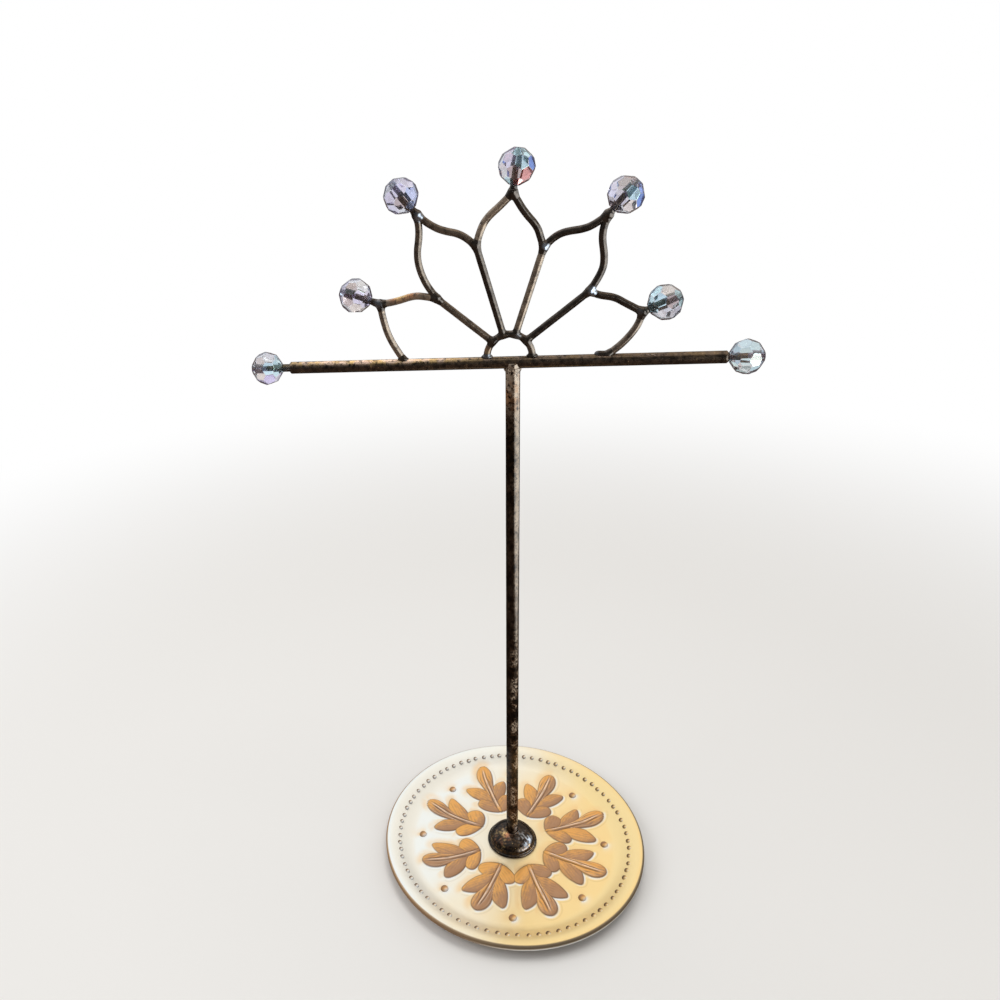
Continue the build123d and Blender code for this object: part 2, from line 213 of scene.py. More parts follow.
# Satin champagne plate with painted light: paler and cooler on one side, warmer on the other, with
# painted highlights and warm reflections round the leaves, leaves toned brown and gilded, lighter on
# their lit sides, dark in their lines
def champagneGold():
    look, shares = goldLook, goldLook["shares"]
    shader = Shader("champagneGold")
    patches = shader.speckle(look["patchSize"], 2.0)
    toned = shader.speckle(look["toneSize"], 3.0, 0.6)
    fine = shader.speckle(look["fineSize"], 5.0, 0.7)
    glow, bright, gilt, rib, line = [shader.attribute(key)
                                     for key in ("glow", "bright", "gilt", "rib", "line")]
    sideways, backwards = shader.outputs("SeparateXYZ", ("X", "Y"), {0: shader.place()})
    # Painted light: the ground turns from pale and cool on one side of the plate to warm on the other
    side = shader.step(sideways * look["paintedLightWay"][0] + backwards * look["paintedLightWay"][1]
                       + (patches - 0.5) * look["paintedLightWaves"], *look["paintedLightRange"])
    ground = shader.mix(side, look["pale"], look["warm"])
    # A painted warm reflection round the leaves and studs
    ground = shader.mix(glow * shader.step(toned, *look["paintedWarmReflectionRange"]) * shares["glow"], ground,
                        look["glow"])
    # A painted highlight in white-blue on the ground, the knobs and the edge's lower lip
    ground = shader.mix(bright * shares["bright"], ground, look["bright"])
    # The leaves' gilding, lighter towards each lobe's lit side as painted light
    broad, small = look["giltWaves"]
    light = shader.step(gilt + (toned - 0.5) * broad + (fine - 0.5) * small, *look["giltRange"])
    leafColour = shader.mix(light * shares["gilt"], look["leaf"], look["leafLight"])
    leafColour = shader.mix(rib * shares["rib"], leafColour, look["rib"])
    colour = shader.mix(shader.attribute("leafTone"), ground, leafColour)
    # The edge wall is painted shade, warm on one side of the plate and grey on the other with the
    # painted light
    colour = shader.mix(shader.attribute("edge"), colour,
                        shader.mix(side, look["edgeWarm"], look["edgeGrey"]))
    colour = shader.mix(line * shares["line"], colour, look["line"])
    return shader.finish(shader.surface({
        "Base Color": colour, "Metallic": look["metallic"] - bright * look["paintedHighlightLoss"],
        "Roughness": look["roughLow"] + look["roughSpread"] * fine,
        "Normal": shader.bump(fine, *look["grain"])}))


crystalLook = {
    "ior": 1.50, "roughness": 0.015, "film": 420.0, "filmIor": 1.6,
    "sheenMetal": 0.7, "sheenRoughness": 0.18,
    "rim": tone(0.085, 0.070, 0.10), "rimRoughness": 0.2, "rimRange": (0.60, 0.84), "rimShare": 0.85,
}


# Clear glass whose facets carry the tints of an iridescent coating, laid out as painted reflections and
# shade, with a painted dark outline for the shade at the glass's edge
def coatedCrystal():
    look = crystalLook
    shader = Shader("coatedCrystal")
    tint = shader.attribute("facetTint", "Color")
    glass = shader.surface({
        "Base Color": tint, "Roughness": look["roughness"], "IOR": look["ior"],
        "Transmission Weight": 1.0, "Thin Film Thickness": look["film"],
        "Thin Film IOR": look["filmIor"]})
    sheen = shader.surface({"Base Color": tint, "Metallic": look["sheenMetal"],
                            "Roughness": look["sheenRoughness"]})
    coated = shader.mixShaders(shader.attribute("facetSheen"), glass, sheen)
    rounded = shader.attribute("roundNormal", "Vector")
    facing = shader.node("LayerWeight", None, {"Blend": 0.5, "Normal": rounded}, output="Facing")
    # A painted dark outline, standing in for the shade at the glass's edge
    rim = shader.surface({"Base Color": look["rim"], "Roughness": look["rimRoughness"]})
    outline = shader.step(facing, *look["rimRange"]) * look["rimShare"]
    return shader.finish(shader.mixShaders(outline, coated, rim))


feltLook = {"fibre": 0.5, "clump": 6.0, "clumpShare": 0.3, "roughness": 0.95, "sheen": 0.3,
            "stops": [(0.35, tone(0.022, 0.020, 0.019)), (0.65, tone(0.075, 0.068, 0.062))],
            "nap": (0.8, 0.3)}


def pressedFelt():
    look = feltLook
    shader = Shader("pressedFelt")
    fibres = shader.speckle(look["fibre"], 6.0, 0.75)
    clumps = shader.speckle(look["clump"], 3.0)
    felt = fibres * (1 - look["clumpShare"]) + clumps * look["clumpShare"]
    return shader.finish(shader.surface({
        "Base Color": shader.ramp(felt, look["stops"]), "Roughness": look["roughness"],
        "Sheen Weight": look["sheen"], "Normal": shader.bump(fibres, *look["nap"])}))


steelLook = {"grain": 0.5, "drawn": (1, 1, 6), "roughLow": 0.25, "roughSpread": 0.2,
             "stops": [(0.3, tone(0.42, 0.42, 0.43)), (0.7, tone(0.62, 0.62, 0.62))],
             "scratches": (0.3, 0.05)}


def platedSteel():
    look = steelLook
    shader = Shader("platedSteel")
    grain = shader.speckle(look["grain"], 4.0, 0.6, look["drawn"])
    return shader.finish(shader.surface({
        "Base Color": shader.ramp(grain, look["stops"]), "Metallic": 1.0,
        "Roughness": look["roughLow"] + look["roughSpread"] * grain,
        "Normal": shader.bump(grain, *look["scratches"])}))


print("stage: materials")
bronze = antiqueBronze("antiqueBronze", 0.4, worn=("peach", "brass"))
darkBronze = antiqueBronze("darkBronze", 0.8, coat=0.6, mottleSize=1.1, bump=0.40)
postBronze = antiqueBronze("postBronze", 1.5, mottleSize=1.3, worn=("sand", "ash"), speckLow=0.45)
wireBronze = antiqueBronze("wireBronze", 0.25, "steel", coat=0.4, mottled=0.45)
brazeBronze = antiqueBronze("brazeBronze", 0.3, "steel", mottled=0.6)
gold = champagneGold()
crystal = coatedCrystal()


# Number helpers
def clamped(value):
    return max(0.0, min(1.0, value))


def smoothRise(value, low, high):
    share = np.clip((value - low) / (high - low), 0, 1)
    return share * share * (3 - 2 * share)


# 1 where the value is 0, and next to nothing at twice the width
def bell(value, width):
    return np.exp(-(value / width) ** 2)


# Rises from 0 to 1 and falls back between two places
def hump(value, low, high):
    return np.sin(np.clip((value - low) / (high - low), 0, 1) * pi)


def wobble(point, size, seed):
    return noise.noise(Vector((point[0] / size + seed, point[1] / size, point[2] / size)))


# A gentle field of waves between -1 and 1
def slowWaves(x, y, size, seed):
    total = np.zeros_like(x)
    for index in range(4):
        turn = seed * 1.7 + index * 2.4
        total += np.sin((x * cos(turn) + y * sin(turn)) * (2 + 0.7 * index) / size + seed + index)
    return total / 4


# How near a point is to a spot: 1 there, 0 at the reach, and below 0 farther off
def nearness(point, spot, reach):
    return 1 - (Vector(point) - Vector(spot)).length / reach


# Mesh helpers
def addField(mesh, key, values):
    field = mesh.attributes.get(key) or mesh.attributes.new(key, "FLOAT", "POINT")
    field.data.foreach_set("value", np.asarray(values, np.float32))


def smoothMesh(name, points, faces, fields):
    mesh = bpy.data.meshes.new(name)
    mesh.from_pydata([tuple(Vector(p) * mm) for p in points], [], faces)
    for key, values in fields.items():
        addField(mesh, key, values)
    mesh.polygons.foreach_set("use_smooth", [True] * len(mesh.polygons))
    mesh.validate()
    shape = bmesh.new()
    shape.from_mesh(mesh)
    bmesh.ops.recalc_face_normals(shape, faces=shape.faces)
    shape.to_mesh(mesh)
    shape.free()
    return mesh


def placed(name, data):
    made = bpy.data.objects.new(name, data)
    bpy.context.scene.collection.objects.link(made)
    return made


# Pieces that some of the lamps light alone
darkMetal, glassWork, domeOnly = [bpy.data.collections.new(name)
                                  for name in ("darkMetal", "glassWork", "domeOnly")]


def newPiece(name, mesh, material, slot, *nodes):
    piece = placed(name, mesh)
    mesh.materials.clear()
    mesh.materials.append(material)
    if material != gold:
        (glassWork if material == crystal else darkMetal).objects.link(piece)
    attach(piece, "root")
    if nodes:
        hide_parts(*nodes)
    return piece


# Quads between two rings of points, and between all the rings of a grid
def ringFaces(low, high, columns):
    return [(low + c, low + (c + 1) % columns, high + (c + 1) % columns, high + c)
            for c in range(columns)]


def gridFaces(rows, columns):
    return [face for row in range(rows - 1)
            for face in ringFaces(row * columns, (row + 1) * columns, columns)]


# Corner cutting, which ends on a smooth curve through the middles of the runs
def softPath(points, rounds, closed=False):
    path = [Vector(p) for p in points]
    for _ in range(rounds):
        runs = zip(path, path[1:] + path[:1] if closed else path[1:])
        cut = [before.lerp(after, share) for before, after in runs for share in (0.25, 0.75)]
        path = cut if closed else [path[0]] + cut + [path[-1]]
    return path


def evenPath(points, step):
    lengths = [0.0]
    for before, after in zip(points, points[1:]):
        lengths.append(lengths[-1] + (after - before).length)
    count = max(2, int(lengths[-1] / step) + 1)
    path, run = [], 0
    for index in range(count):
        want = lengths[-1] * index / (count - 1)
        while run < len(lengths) - 2 and lengths[run + 1] < want:
            run += 1
        share = (want - lengths[run]) / max(lengths[run + 1] - lengths[run], 1e-9)
        path.append(points[run].lerp(points[run + 1], min(1.0, share)))
    return path


# A rod along a path, with its radius and, at each point, how bare it is rubbed and how much painted
# highlight it carries
def tubeMesh(name, path, radiusAt, sides, rubAndShineAt, pale=0.0):
    points, rub = [], []
    last = len(path) - 1
    for index, here in enumerate(path):
        ahead = path[min(index + 1, last)] - path[max(index - 1, 0)]
        ahead.normalize()
        guide = Vector((0, 1, 0)) if abs(ahead.y) < 0.9 else Vector((1, 0, 0))
        across = ahead.cross(guide).normalized()
        depth = across.cross(ahead).normalized()
        for side in range(sides):
            turn = 2 * pi * side / sides
            out = across * cos(turn) + depth * sin(turn)
            points.append(here + out * radiusAt(index, here, out))
            rub.append(rubAndShineAt(index / last, points[-1], out))
    faces = gridFaces(len(path), sides)
    faces.append(tuple(range(sides)))
    faces.append(tuple(reversed(range(last * sides, len(path) * sides))))
    return smoothMesh(name, points, faces, {"rub": rub, "pale": [pale] * len(points)})


# Foot plate
plate = {
    "radius": 60.742, "underside": 0.4, "floor": 2.8, "floorRadius": 46.5, "ring": 54.1,
    "ringRise": 3.35, "rimRise": 5.0, "edgeThickness": 2.7, "edgeRound": 1.0,
    "upperRound": (78, 7), "lowerRound": (71, 5), "lowerEdge": 0.9, "footRound": (0.8, 0.12),
    "recessRadius": 42.5, "recessTop": 1.0, "screwHole": 1.7, "seatRadius": 2.9, "seatTop": 2.3,
    "innerRadius": 10.4, "ringStep": 0.30, "rimRings": 24,
    "waves": 0.05, "waveSize": 16.0, "calmEdge": (2.0, 6.0),
}
studMake = {"circle": 43.2, "radius": 1.78, "height": 1.15, "sides": 24, "rings": 9, "shaded": 0.45}
dotMake = {"count": 78, "radius": 1.12, "height": 0.75, "sides": 14, "rings": 6, "shaded": 1.0,
           "uneven": (0.12, 0.25, 0.07), "sunk": 0.25}
# Leaves: along is measured from the plate's centre, across from the midrib
leafMake = {
    "count": 8, "first": 22.5, "sector": 42.0, "start": 15.0, "length": 30.5, "bowSpan": (15, 46),
    "waves": 0.25, "waveSizes": (11.0, 9.0), "litSide": (-0.45, 0.89), "liftReach": 5.0,
    "columns": {"rib": (2.4, 0.2), "from": 2.8, "to": (22.1, 22.5), "count": (48, 49)},
    "sideStart": 21.0, "sideTip": (36.8, 10.0),
    "spoon": 0.14, "spoonSpan": (16, 45), "pillow": (2.3, 0.7),
    "ribWidth": 0.34, "ribHeight": 0.30, "ribStart": (16.5, 20.0), "ribEnd": (40.5, 44.5),
    "veinPlace": 0.88, "veinWidth": 0.24, "veinDepth": 0.24, "veinTaper": 0.35,
    "veinClosing": (34.0, 44.0), "skirt": 0.24, "skirtWidth": 1.5,
    "creaseWidth": 0.05, "creaseFrom": 0.12, "creaseDepth": 0.10,
    "streakPitch": 4.6, "streakHeight": 0.035, "streakInset": (0.3, 1.0), "outerStreaks": 0.35,
    "strokeFrom": (0.35, 1.0), "strokeInset": (0.4, 1.1), "outerStrokes": 0.45,
    "innerLine": 0.75, "innerWidth": 0.14, "sideLine": 1.25, "sideLineWidth": 0.17,
    "sideLineSpan": ((14.0, 30.0), (38.0, 44.0)), "sideLineTaper": 0.6, "seamWidth": 0.25,
    "seamInset": 0.1, "edgePlace": 0.08, "edgeWidth": 0.22, "toneEdge": (-0.12, 0.12),
    "lights": {"inner": 0.35, "side": 0.55}, "paintedLightSwings": {"lift": 0.24, "streaks": 0.20},
    "darks": {"vein": 0.85, "crease": 0.7, "edge": 0.62, "seam": 0.6},
}
# Each leaf: where it starts and ends on the plate, how far it bows to its left, the ends of its
# left and right side lobes, and how gilded its lobes are: middle, left and right side, left and
# right base. Left is as seen from the plate's centre
leafPlans = [
    ((15.8, 5.9), (44.1, 18.9), -1.7, (34.9, 8.2), (34.2, 11.2), (0.62, 0.35, 0.85, 0.15, 0.35)),
    ((7.4, 14.7), (20.3, 43.4), -0.8, (34.2, 9.2), (34.6, 9.6), (0.35, 0.75, 0.40, 0.12, 0.12)),
    ((-5.1, 16.6), (-15.6, 46.8), 1.3, (33.2, 10.6), (33.6, 8.6), (0.65, 0.62, 0.45, 0.20, 0.20)),
    ((-14.2, 6.6), (-42.2, 21.8), 2.5, (33.6, 10.4), (36.2, 9.0), (0.35, 0.35, 0.60, 0.90, 0.65)),
    ((-15.0, -7.4), (-42.0, -15.9), 1.9, (36.0, 9.8), (37.6, 9.4), (0.18, 0.12, 0.30, 0.80, 0.75)),
    ((-5.1, -15.0), (-16.2, -40.5), 0.6, (37.8, 9.6), (38.0, 9.8), (0.25, 0.45, 0.45, 0.90, 0.85)),
    ((7.2, -14.5), (17.3, -40.8), -0.3, (37.4, 9.9), (38.0, 9.8), (0.45, 0.20, 0.30, 0.05, 0.75)),
    ((14.6, -6.4), (42.3, -16.6), -0.7, (36.6, 9.2), (36.6, 9.6), (0.80, 0.35, 0.35, 0.10, 0.15)),
]
# Middle, side and base lobes of a leaf: how high, how far in they are full, the way they grow in
# degrees, their middles, and outlines as points along and across
middleEdge = [(15.2, 1.0), (19.0, 1.4), (24.0, 1.7), (29.0, 2.1), (33.0, 2.9), (36.0, 3.7),
              (39.0, 4.2), (42.2, 3.9), (44.8, 2.5)]
leafLobes = [
    {"height": 0.62, "lift": 0.10, "full": 2.5, "lean": 0.0, "middle": (37.0, 0.0), "outline": [
        (15.0, 0.0), *middleEdge, (46.0, 0.0), *[(u, -v) for u, v in reversed(middleEdge)]]},
    {"height": 0.54, "lift": 0.0, "full": 2.6, "lean": 34.0, "middle": (30.5, 5.2), "outline": [
        (21.0, 0.4), (22.8, 3.4), (24.8, 5.8), (27.4, 8.0), (30.4, 9.6), (33.4, 10.6), (36.0, 11.1),
        (37.8, 10.3), (37.6, 8.2), (36.8, 5.8), (35.2, 3.2), (30.0, 0.8), (25.0, -0.4)]},
    {"height": 0.46, "lift": 0.0, "full": 2.3, "lean": 52.0, "middle": (20.4, 5.4), "outline": [
        (15.0, 0.5), (15.6, 2.9), (16.8, 5.7), (18.6, 8.0), (20.9, 9.3), (23.1, 9.0),
        (24.8, 7.3), (25.5, 4.8), (24.9, 2.2), (22.0, 0.6), (18.0, -0.2)]},
]
# The ground carries a painted highlight on one side of each leaf and stud, and a painted warm
# reflection on the other; a facing is the range of slopes, from away to towards the highlit side, over
# which a mark comes in
shine = {
    "side": (0.75, -0.66), "lipRows": (7, 8, 9, 10, 11), "lipFacing": (0.2, 0.8), "edge": 0.9,
    "crescent": 1.15, "crescentWaves": 0.55, "crescentSize": 8.0, "crescentFull": 0.5,
    "brightFacing": (0.05, 0.6), "bright": 0.75, "brightWaves": 0.35, "brightSize": 5.0,
    "paintedWarmReflectionReach": (0.4, 4.6), "paintedWarmReflectionFacing": (-0.1, 0.6), "paintedWarmReflectionEverywhere": 0.15,
    "glow": 0.80, "glowWaves": 0.30, "glowSize": 7.0,
    "contourGap": 0.5, "contourWidth": 0.26, "contourFacing": (0.1, 0.6), "contour": 0.15,
    "innerFrom": 0.1, "innerReach": 1.4, "innerFacing": (0.2, 0.9), "inner": 0.40,
    "paintedSideSwing": 0.55, "outlinePlace": 0.10, "outlineWidth": 0.27, "outlineFacing": (-0.3, 0.6),
    "outline": (0.50, 0.45),
    "studReach": 1.7, "studPaintedWarmReflection": (-0.1, 0.7), "studPaintedHighlight": (0.1, 0.7),
    "knobTone": 1.55, "knobPaintedHighlight": (2.4, 0.9), "knobPaintedLight": (0.3, 0.5, 0.4),
    "knobFoot": (1.4, 0.95, 0.35), "knobFar": (0.62, 1.5),
}


# The curves of one side of a leaf, with its side lobe drawn out to the given end
def lobeCurves(tip):
    start, end = leafMake["sideStart"], leafMake["sideTip"]
    drawn = [(start + (along - start) * (tip[0] - start) / (end[0] - start), across * tip[1] / end[1])
             for along, across in leafLobes[1]["outline"]]
    return [np.array([tuple(p) for p in softPath(outline, 2, True)])
            for outline in (leafLobes[0]["outline"], drawn, leafLobes[2]["outline"])]


# Distance of points to a closed curve, positive inside it
def insideDistance(u, v, curve):
    nearest = np.full(u.shape, 1e9)
    inside = np.zeros(u.shape, bool)
    for (u0, v0), (u1, v1) in zip(curve, np.roll(curve, -1, axis=0)):
        du, dv = u1 - u0, v1 - v0
        share = np.clip(((u - u0) * du + (v - v0) * dv) / (du * du + dv * dv), 0, 1)
        nearest = np.minimum(nearest, np.hypot(u - u0 - share * du, v - v0 - share * dv))
        if abs(dv) > 1e-9:
            inside ^= ((v0 > v) != (v1 > v)) & (u < u0 + du * (v - v0) / dv)
    return np.where(inside, nearest, -nearest)


# Height of the plate's top: a flat floor, and a flared rim that eases out at the edge
def saucerHeight(radius):
    floor, ring, edge = plate["floorRadius"], plate["ring"], plate["radius"]
    share = np.clip((radius - floor) / (edge - floor), 0, 1)
    middle = (ring - floor) / (edge - floor)
    bend = (plate["ringRise"] / plate["rimRise"] - middle ** 2 * (3 - 2 * middle)) / (
        middle * middle * (1 - middle))
    rise = share * share * (3 - 2 * share) + bend * share * share * (1 - share)
    return plate["floor"] + plate["rimRise"] * rise


# Heights of a leaf's three lobes, and how far inside each one's edge the points lie
def lobeHeights(along, across, curves):
    swell, ease = leafMake["pillow"]
    spoon = 1 - leafMake["spoon"] + leafMake["spoon"] * hump(along, *leafMake["spoonSpan"])
    heights, depths = [], []
    for index, lobe in enumerate(leafLobes):
        left, right = [insideDistance(along, side, curve[index])
                       for side, curve in zip((across, -across), curves)]
        depth = np.where(across > 0, left, right)
        pillow = (1 - (1 - np.clip(depth / lobe["full"], 0, 1)) ** swell) ** ease
        heights.append(np.where(depth > 0, lobe["height"] * pillow * spoon + lobe["lift"], 0.0))
        depths.append(depth)
    return np.stack(heights), np.max(depths, axis=0)


# Streaks raised along a lobe's growth, which wander a little, and dark strokes in their hollows
def leafStreaks(along, across, depth, lobe, reach):
    lean = np.radians([shape["lean"] for shape in leafLobes])[lobe]
    sideways = -(along - leafMake["spoonSpan"][0]) * np.sin(lean) + np.abs(across) * np.cos(lean)
    wander = 1.2 * np.sin(along * 0.33) + 0.7 * np.sin(along * 0.9 + across)
    streaks = np.sin(sideways * leafMake["streakPitch"] + wander)
    strokes = smoothRise(-streaks, *leafMake["strokeFrom"]) * reach
    strokes = strokes * smoothRise(depth, *leafMake["strokeInset"])
    strokes = strokes * np.clip(0.22 + 0.26 * np.sin(along * 0.8 + across * 1.3), 0, 1)
    streaks = streaks * smoothRise(depth, *leafMake["streakInset"])
    return (streaks * np.where(lobe == 0, 1.0, leafMake["outerStreaks"]),
            strokes * np.where(lobe == 0, 1.0, leafMake["outerStrokes"]))


# Height of a leaf over the floor, how far inside its edge, its light and dark lines, its gilding with
# painted light; uphill is the way to the lit side of each lobe, along and across the leaf
def leafRelief(along, across, curves, gilding, uphill):
    make = leafMake
    lights, darks, swings = [make[key] for key in ("lights", "darks", "paintedLightSwings")]
    heights, depth = lobeHeights(along, across, curves)
    second, highest = np.sort(heights, axis=0)[-2:]
    lobe = np.argmax(heights, axis=0)
    reach = smoothRise(along, *make["ribStart"]) * (1 - smoothRise(along, *make["ribEnd"]))
    rib = bell(across, make["ribWidth"]) * reach
    place = make["veinPlace"] * (1 - make["veinTaper"] * smoothRise(along, *make["veinClosing"]))
    veins = bell(np.abs(across) - place, make["veinWidth"]) * reach
    crease = bell(highest - second, make["creaseWidth"]) * (second > make["creaseFrom"])
    skirt = make["skirt"] * np.clip(1 + depth / make["skirtWidth"], 0, 1) ** 2
    streaks, strokes = leafStreaks(along, across, depth, lobe, reach)
    relief = (highest + rib * make["ribHeight"] - veins * make["veinDepth"]
              - crease * make["creaseDepth"] + skirt + streaks * make["streakHeight"])
    inner = bell(depth - make["innerLine"], make["innerWidth"]) * (lobe == 0) * reach
    opening, closing = [smoothRise(along, *span) for span in make["sideLineSpan"]]
    stand = make["sideLine"] * opening * (1 - make["sideLineTaper"] * closing)    # left of the rib
    sideLine = bell(across - stand, make["sideLineWidth"]) * reach
    middles = np.array([shape["middle"] for shape in leafLobes])[lobe]
    lift = ((along - middles[:, 0]) * uphill[0]
            + (across - middles[:, 1] * np.sign(across)) * uphill[1]) / make["liftReach"]
    part = np.where(lobe > 0, 2 * lobe - (across > 0), 0)
    # Gilding per lobe, made lighter towards the lobe's lit side as painted light
    gilt = (np.array(gilding)[part] + swings["lift"] * np.clip(lift, -1, 1)
            + swings["streaks"] * streaks)
    light = np.maximum.reduce([rib, inner * lights["inner"], sideLine * lights["side"]])
    dark = np.maximum.reduce([veins * darks["vein"], crease * darks["crease"], strokes])
    return relief, depth, light, dark, gilt


def leafTurn(leaf):
    return leafMake["first"] + 360 / leafMake["count"] * leaf


# Carves one leaf into the fields of the plate's top
def carveLeaf(leaf, x, y, angle, fields):
    start, end, bow, leftTip, rightTip, gilding = leafPlans[leaf]
    ahead = Vector(end) - Vector(start)
    stretch = ahead.length / leafMake["length"]
    ahead.normalize()
    close = np.cos(angle - radians(leafTurn(leaf))) > cos(radians(leafMake["sector"]))
    x, y = x[close], y[close]
    along = ((x - start[0]) * ahead.x + (y - start[1]) * ahead.y) / stretch + leafMake["start"]
    across = (y - start[1]) * ahead.x - (x - start[0]) * ahead.y
    across = across - bow * hump(along, *leafMake["bowSpan"])
    along = along + leafMake["waves"] * slowWaves(x, y, leafMake["waveSizes"][0], leaf + 2)
    across = across + leafMake["waves"] * slowWaves(x, y, leafMake["waveSizes"][1], leaf + 9)
    # The lit side, towards which each lobe is painted lighter
    litX, litY = leafMake["litSide"]
    uphill = litX * ahead.x + litY * ahead.y, litY * ahead.x - litX * ahead.y
    height, depth, rib, line, gilt = leafRelief(
        along, across, [lobeCurves(leftTip), lobeCurves(rightTip)], gilding, uphill)
    kept = {key: field[close] for key, field in fields.items()}
    nearer, darks = depth >= kept["reached"], leafMake["darks"]
    seam = bell(kept["reached"] - depth, leafMake["seamWidth"]) * darks["seam"]
    seam = seam * (depth > leafMake["seamInset"])
    edge = bell(depth - leafMake["edgePlace"], leafMake["edgeWidth"]) * darks["edge"]
    own = {"gilt": gilt, "rib": rib * (depth > 0),
           "line": np.maximum.reduce([line * (depth > 0), edge, seam])}
    kept["line"] = np.maximum(kept["line"], seam)
    for key, mark in own.items():
        fields[key][close] = np.where(nearer, mark, kept[key])
    for key, mark in (("relief", height), ("reached", depth),
                      ("leafTone", smoothRise(depth, *leafMake["toneEdge"]))):
        fields[key][close] = np.maximum(kept[key], mark)


# Paints light and shade round the leaves, painted highlight crescents and painted shade inside their
# edges on one side, painted warm reflections on the other, and draws their outlines
def shineGround(x, y, radii, angles, fields):
    reached = fields["reached"]
    outwards = -np.gradient(reached, radii, axis=0)
    turning = -np.gradient(reached, angles, axis=1) / radii[:, None]
    sideX, sideY = shine["side"]
    ahead = np.cos(angles) * sideX + np.sin(angles) * sideY
    beside = np.cos(angles) * sideY - np.sin(angles) * sideX
    towards = (outwards * ahead + turning * beside) / (np.hypot(outwards, turning) + 1e-6)
    facing = {key: smoothRise(towards, *shine[key + "Facing"])
              for key in ("bright", "contour", "inner", "outline")}
    gap = np.clip(-reached, 0, None)
    waves = {key: shine[key + "Waves"] * slowWaves(x, y, shine[key + "Size"], seed)
             for key, seed in (("crescent", 3.0), ("bright", 7.0), ("glow", 5.0))}
    width = shine["crescent"] + waves["crescent"]
    # A painted highlight: white-blue crescents on the ground beside the leaves, on their highlit side
    fields["bright"] = 1 - smoothRise(gap, shine["crescentFull"] * width, width)
    fields["bright"] *= facing["bright"] * (shine["bright"] + waves["bright"])
    # A painted warm reflection on the ground round each leaf, strongest on the side away from the
    # highlights
    base = shine["paintedWarmReflectionEverywhere"]
    fields["glow"] = 1 - smoothRise(gap, *shine["paintedWarmReflectionReach"])
    fields["glow"] *= base + (1 - base) * smoothRise(-towards, *shine["paintedWarmReflectionFacing"])
    fields["glow"] *= shine["glow"] + waves["glow"]
    # Painted shade: the contour and the inner edge darken on each leaf's highlit side, the outline is
    # dark all round and darker there, and the gilding inside the edge dims on that side and brightens
    # on the other
    contour = bell(gap - width - shine["contourGap"], shine["contourWidth"]) * shine["contour"]
    inside = np.exp(-np.clip(reached, 0, None) / shine["innerReach"])
    inside = inside * (reached > shine["innerFrom"])
    outline = bell(reached - shine["outlinePlace"], shine["outlineWidth"])
    least, more = shine["outline"]
    fields["gilt"] -= shine["paintedSideSwing"] * towards * inside
    fields["line"] = np.maximum.reduce([
        fields["line"], contour * facing["contour"], shine["inner"] * inside * facing["inner"],
        outline * (least + more * facing["outline"])])


def studTurn(stud):
    return 360 / leafMake["count"] * stud


# Carries the same painted highlight and painted warm reflection round each stud
def shineStuds(x, y, fields):
    for stud in range(leafMake["count"]):
        turn = radians(studTurn(stud))
        aside, beyond = x - studMake["circle"] * cos(turn), y - studMake["circle"] * sin(turn)
        near = np.hypot(aside, beyond)
        side = (aside * shine["side"][0] + beyond * shine["side"][1]) / (near + 0.01)
        halo = np.exp(-(near - studMake["radius"]).clip(0, None) / shine["studReach"])
        fields["glow"] = np.maximum(fields["glow"], halo * smoothRise(-side, *shine["studPaintedWarmReflection"]))
        fields["bright"] = np.maximum(fields["bright"],
                                      halo ** 2 * smoothRise(side, *shine["studPaintedHighlight"]))


# The rings of the plate's top and its columns, which lie closer together on each leaf's rib
def plateGrid():
    columns = leafMake["columns"]
    reach, step = columns["rib"]
    near = list(np.arange(-reach, reach + step / 20, step))
    left, right = [list(np.linspace(columns["from"], end, count))
                   for end, count in zip(columns["to"], columns["count"])]
    offsets = np.array(sorted(near + left + [-place for place in right]))
    angles = np.concatenate([leafTurn(leaf) + offsets for leaf in range(leafMake["count"])])
    floor = np.arange(plate["innerRadius"], plate["floorRadius"], plate["ringStep"])
    rim = np.linspace(plate["floorRadius"], plate["radius"] - plate["edgeRound"], plate["rimRings"])
    return np.concatenate([floor, rim]), np.radians(angles)


def embossedTop(radii, angles):
    radius, angle = np.meshgrid(radii, angles, indexing="ij")
    x, y = radius * np.cos(angle), radius * np.sin(angle)
    margin, fall = plate["calmEdge"]
    calm = np.clip((plate["radius"] - margin - radius) / fall, 0, 1)
    z = saucerHeight(radius) + slowWaves(x, y, plate["waveSize"], 1.0) * plate["waves"] * calm
    fields = {key: np.zeros_like(z) for key in ("relief", "leafTone", "gilt", "line", "rib", "edge")}
    fields["reached"] = np.full_like(z, -plate["floorRadius"])  # far outside every leaf
    for leaf in range(leafMake["count"]):
        carveLeaf(leaf, x, y, angle, fields)
    shineGround(x, y, radii, angles, fields)
    shineStuds(x, y, fields)
    points = np.stack([x, y, z + fields.pop("relief")], -1).reshape(-1, 3)
    fields.pop("reached")
    return [tuple(p) for p in points], {key: list(field.ravel()) for key, field in fields.items()}


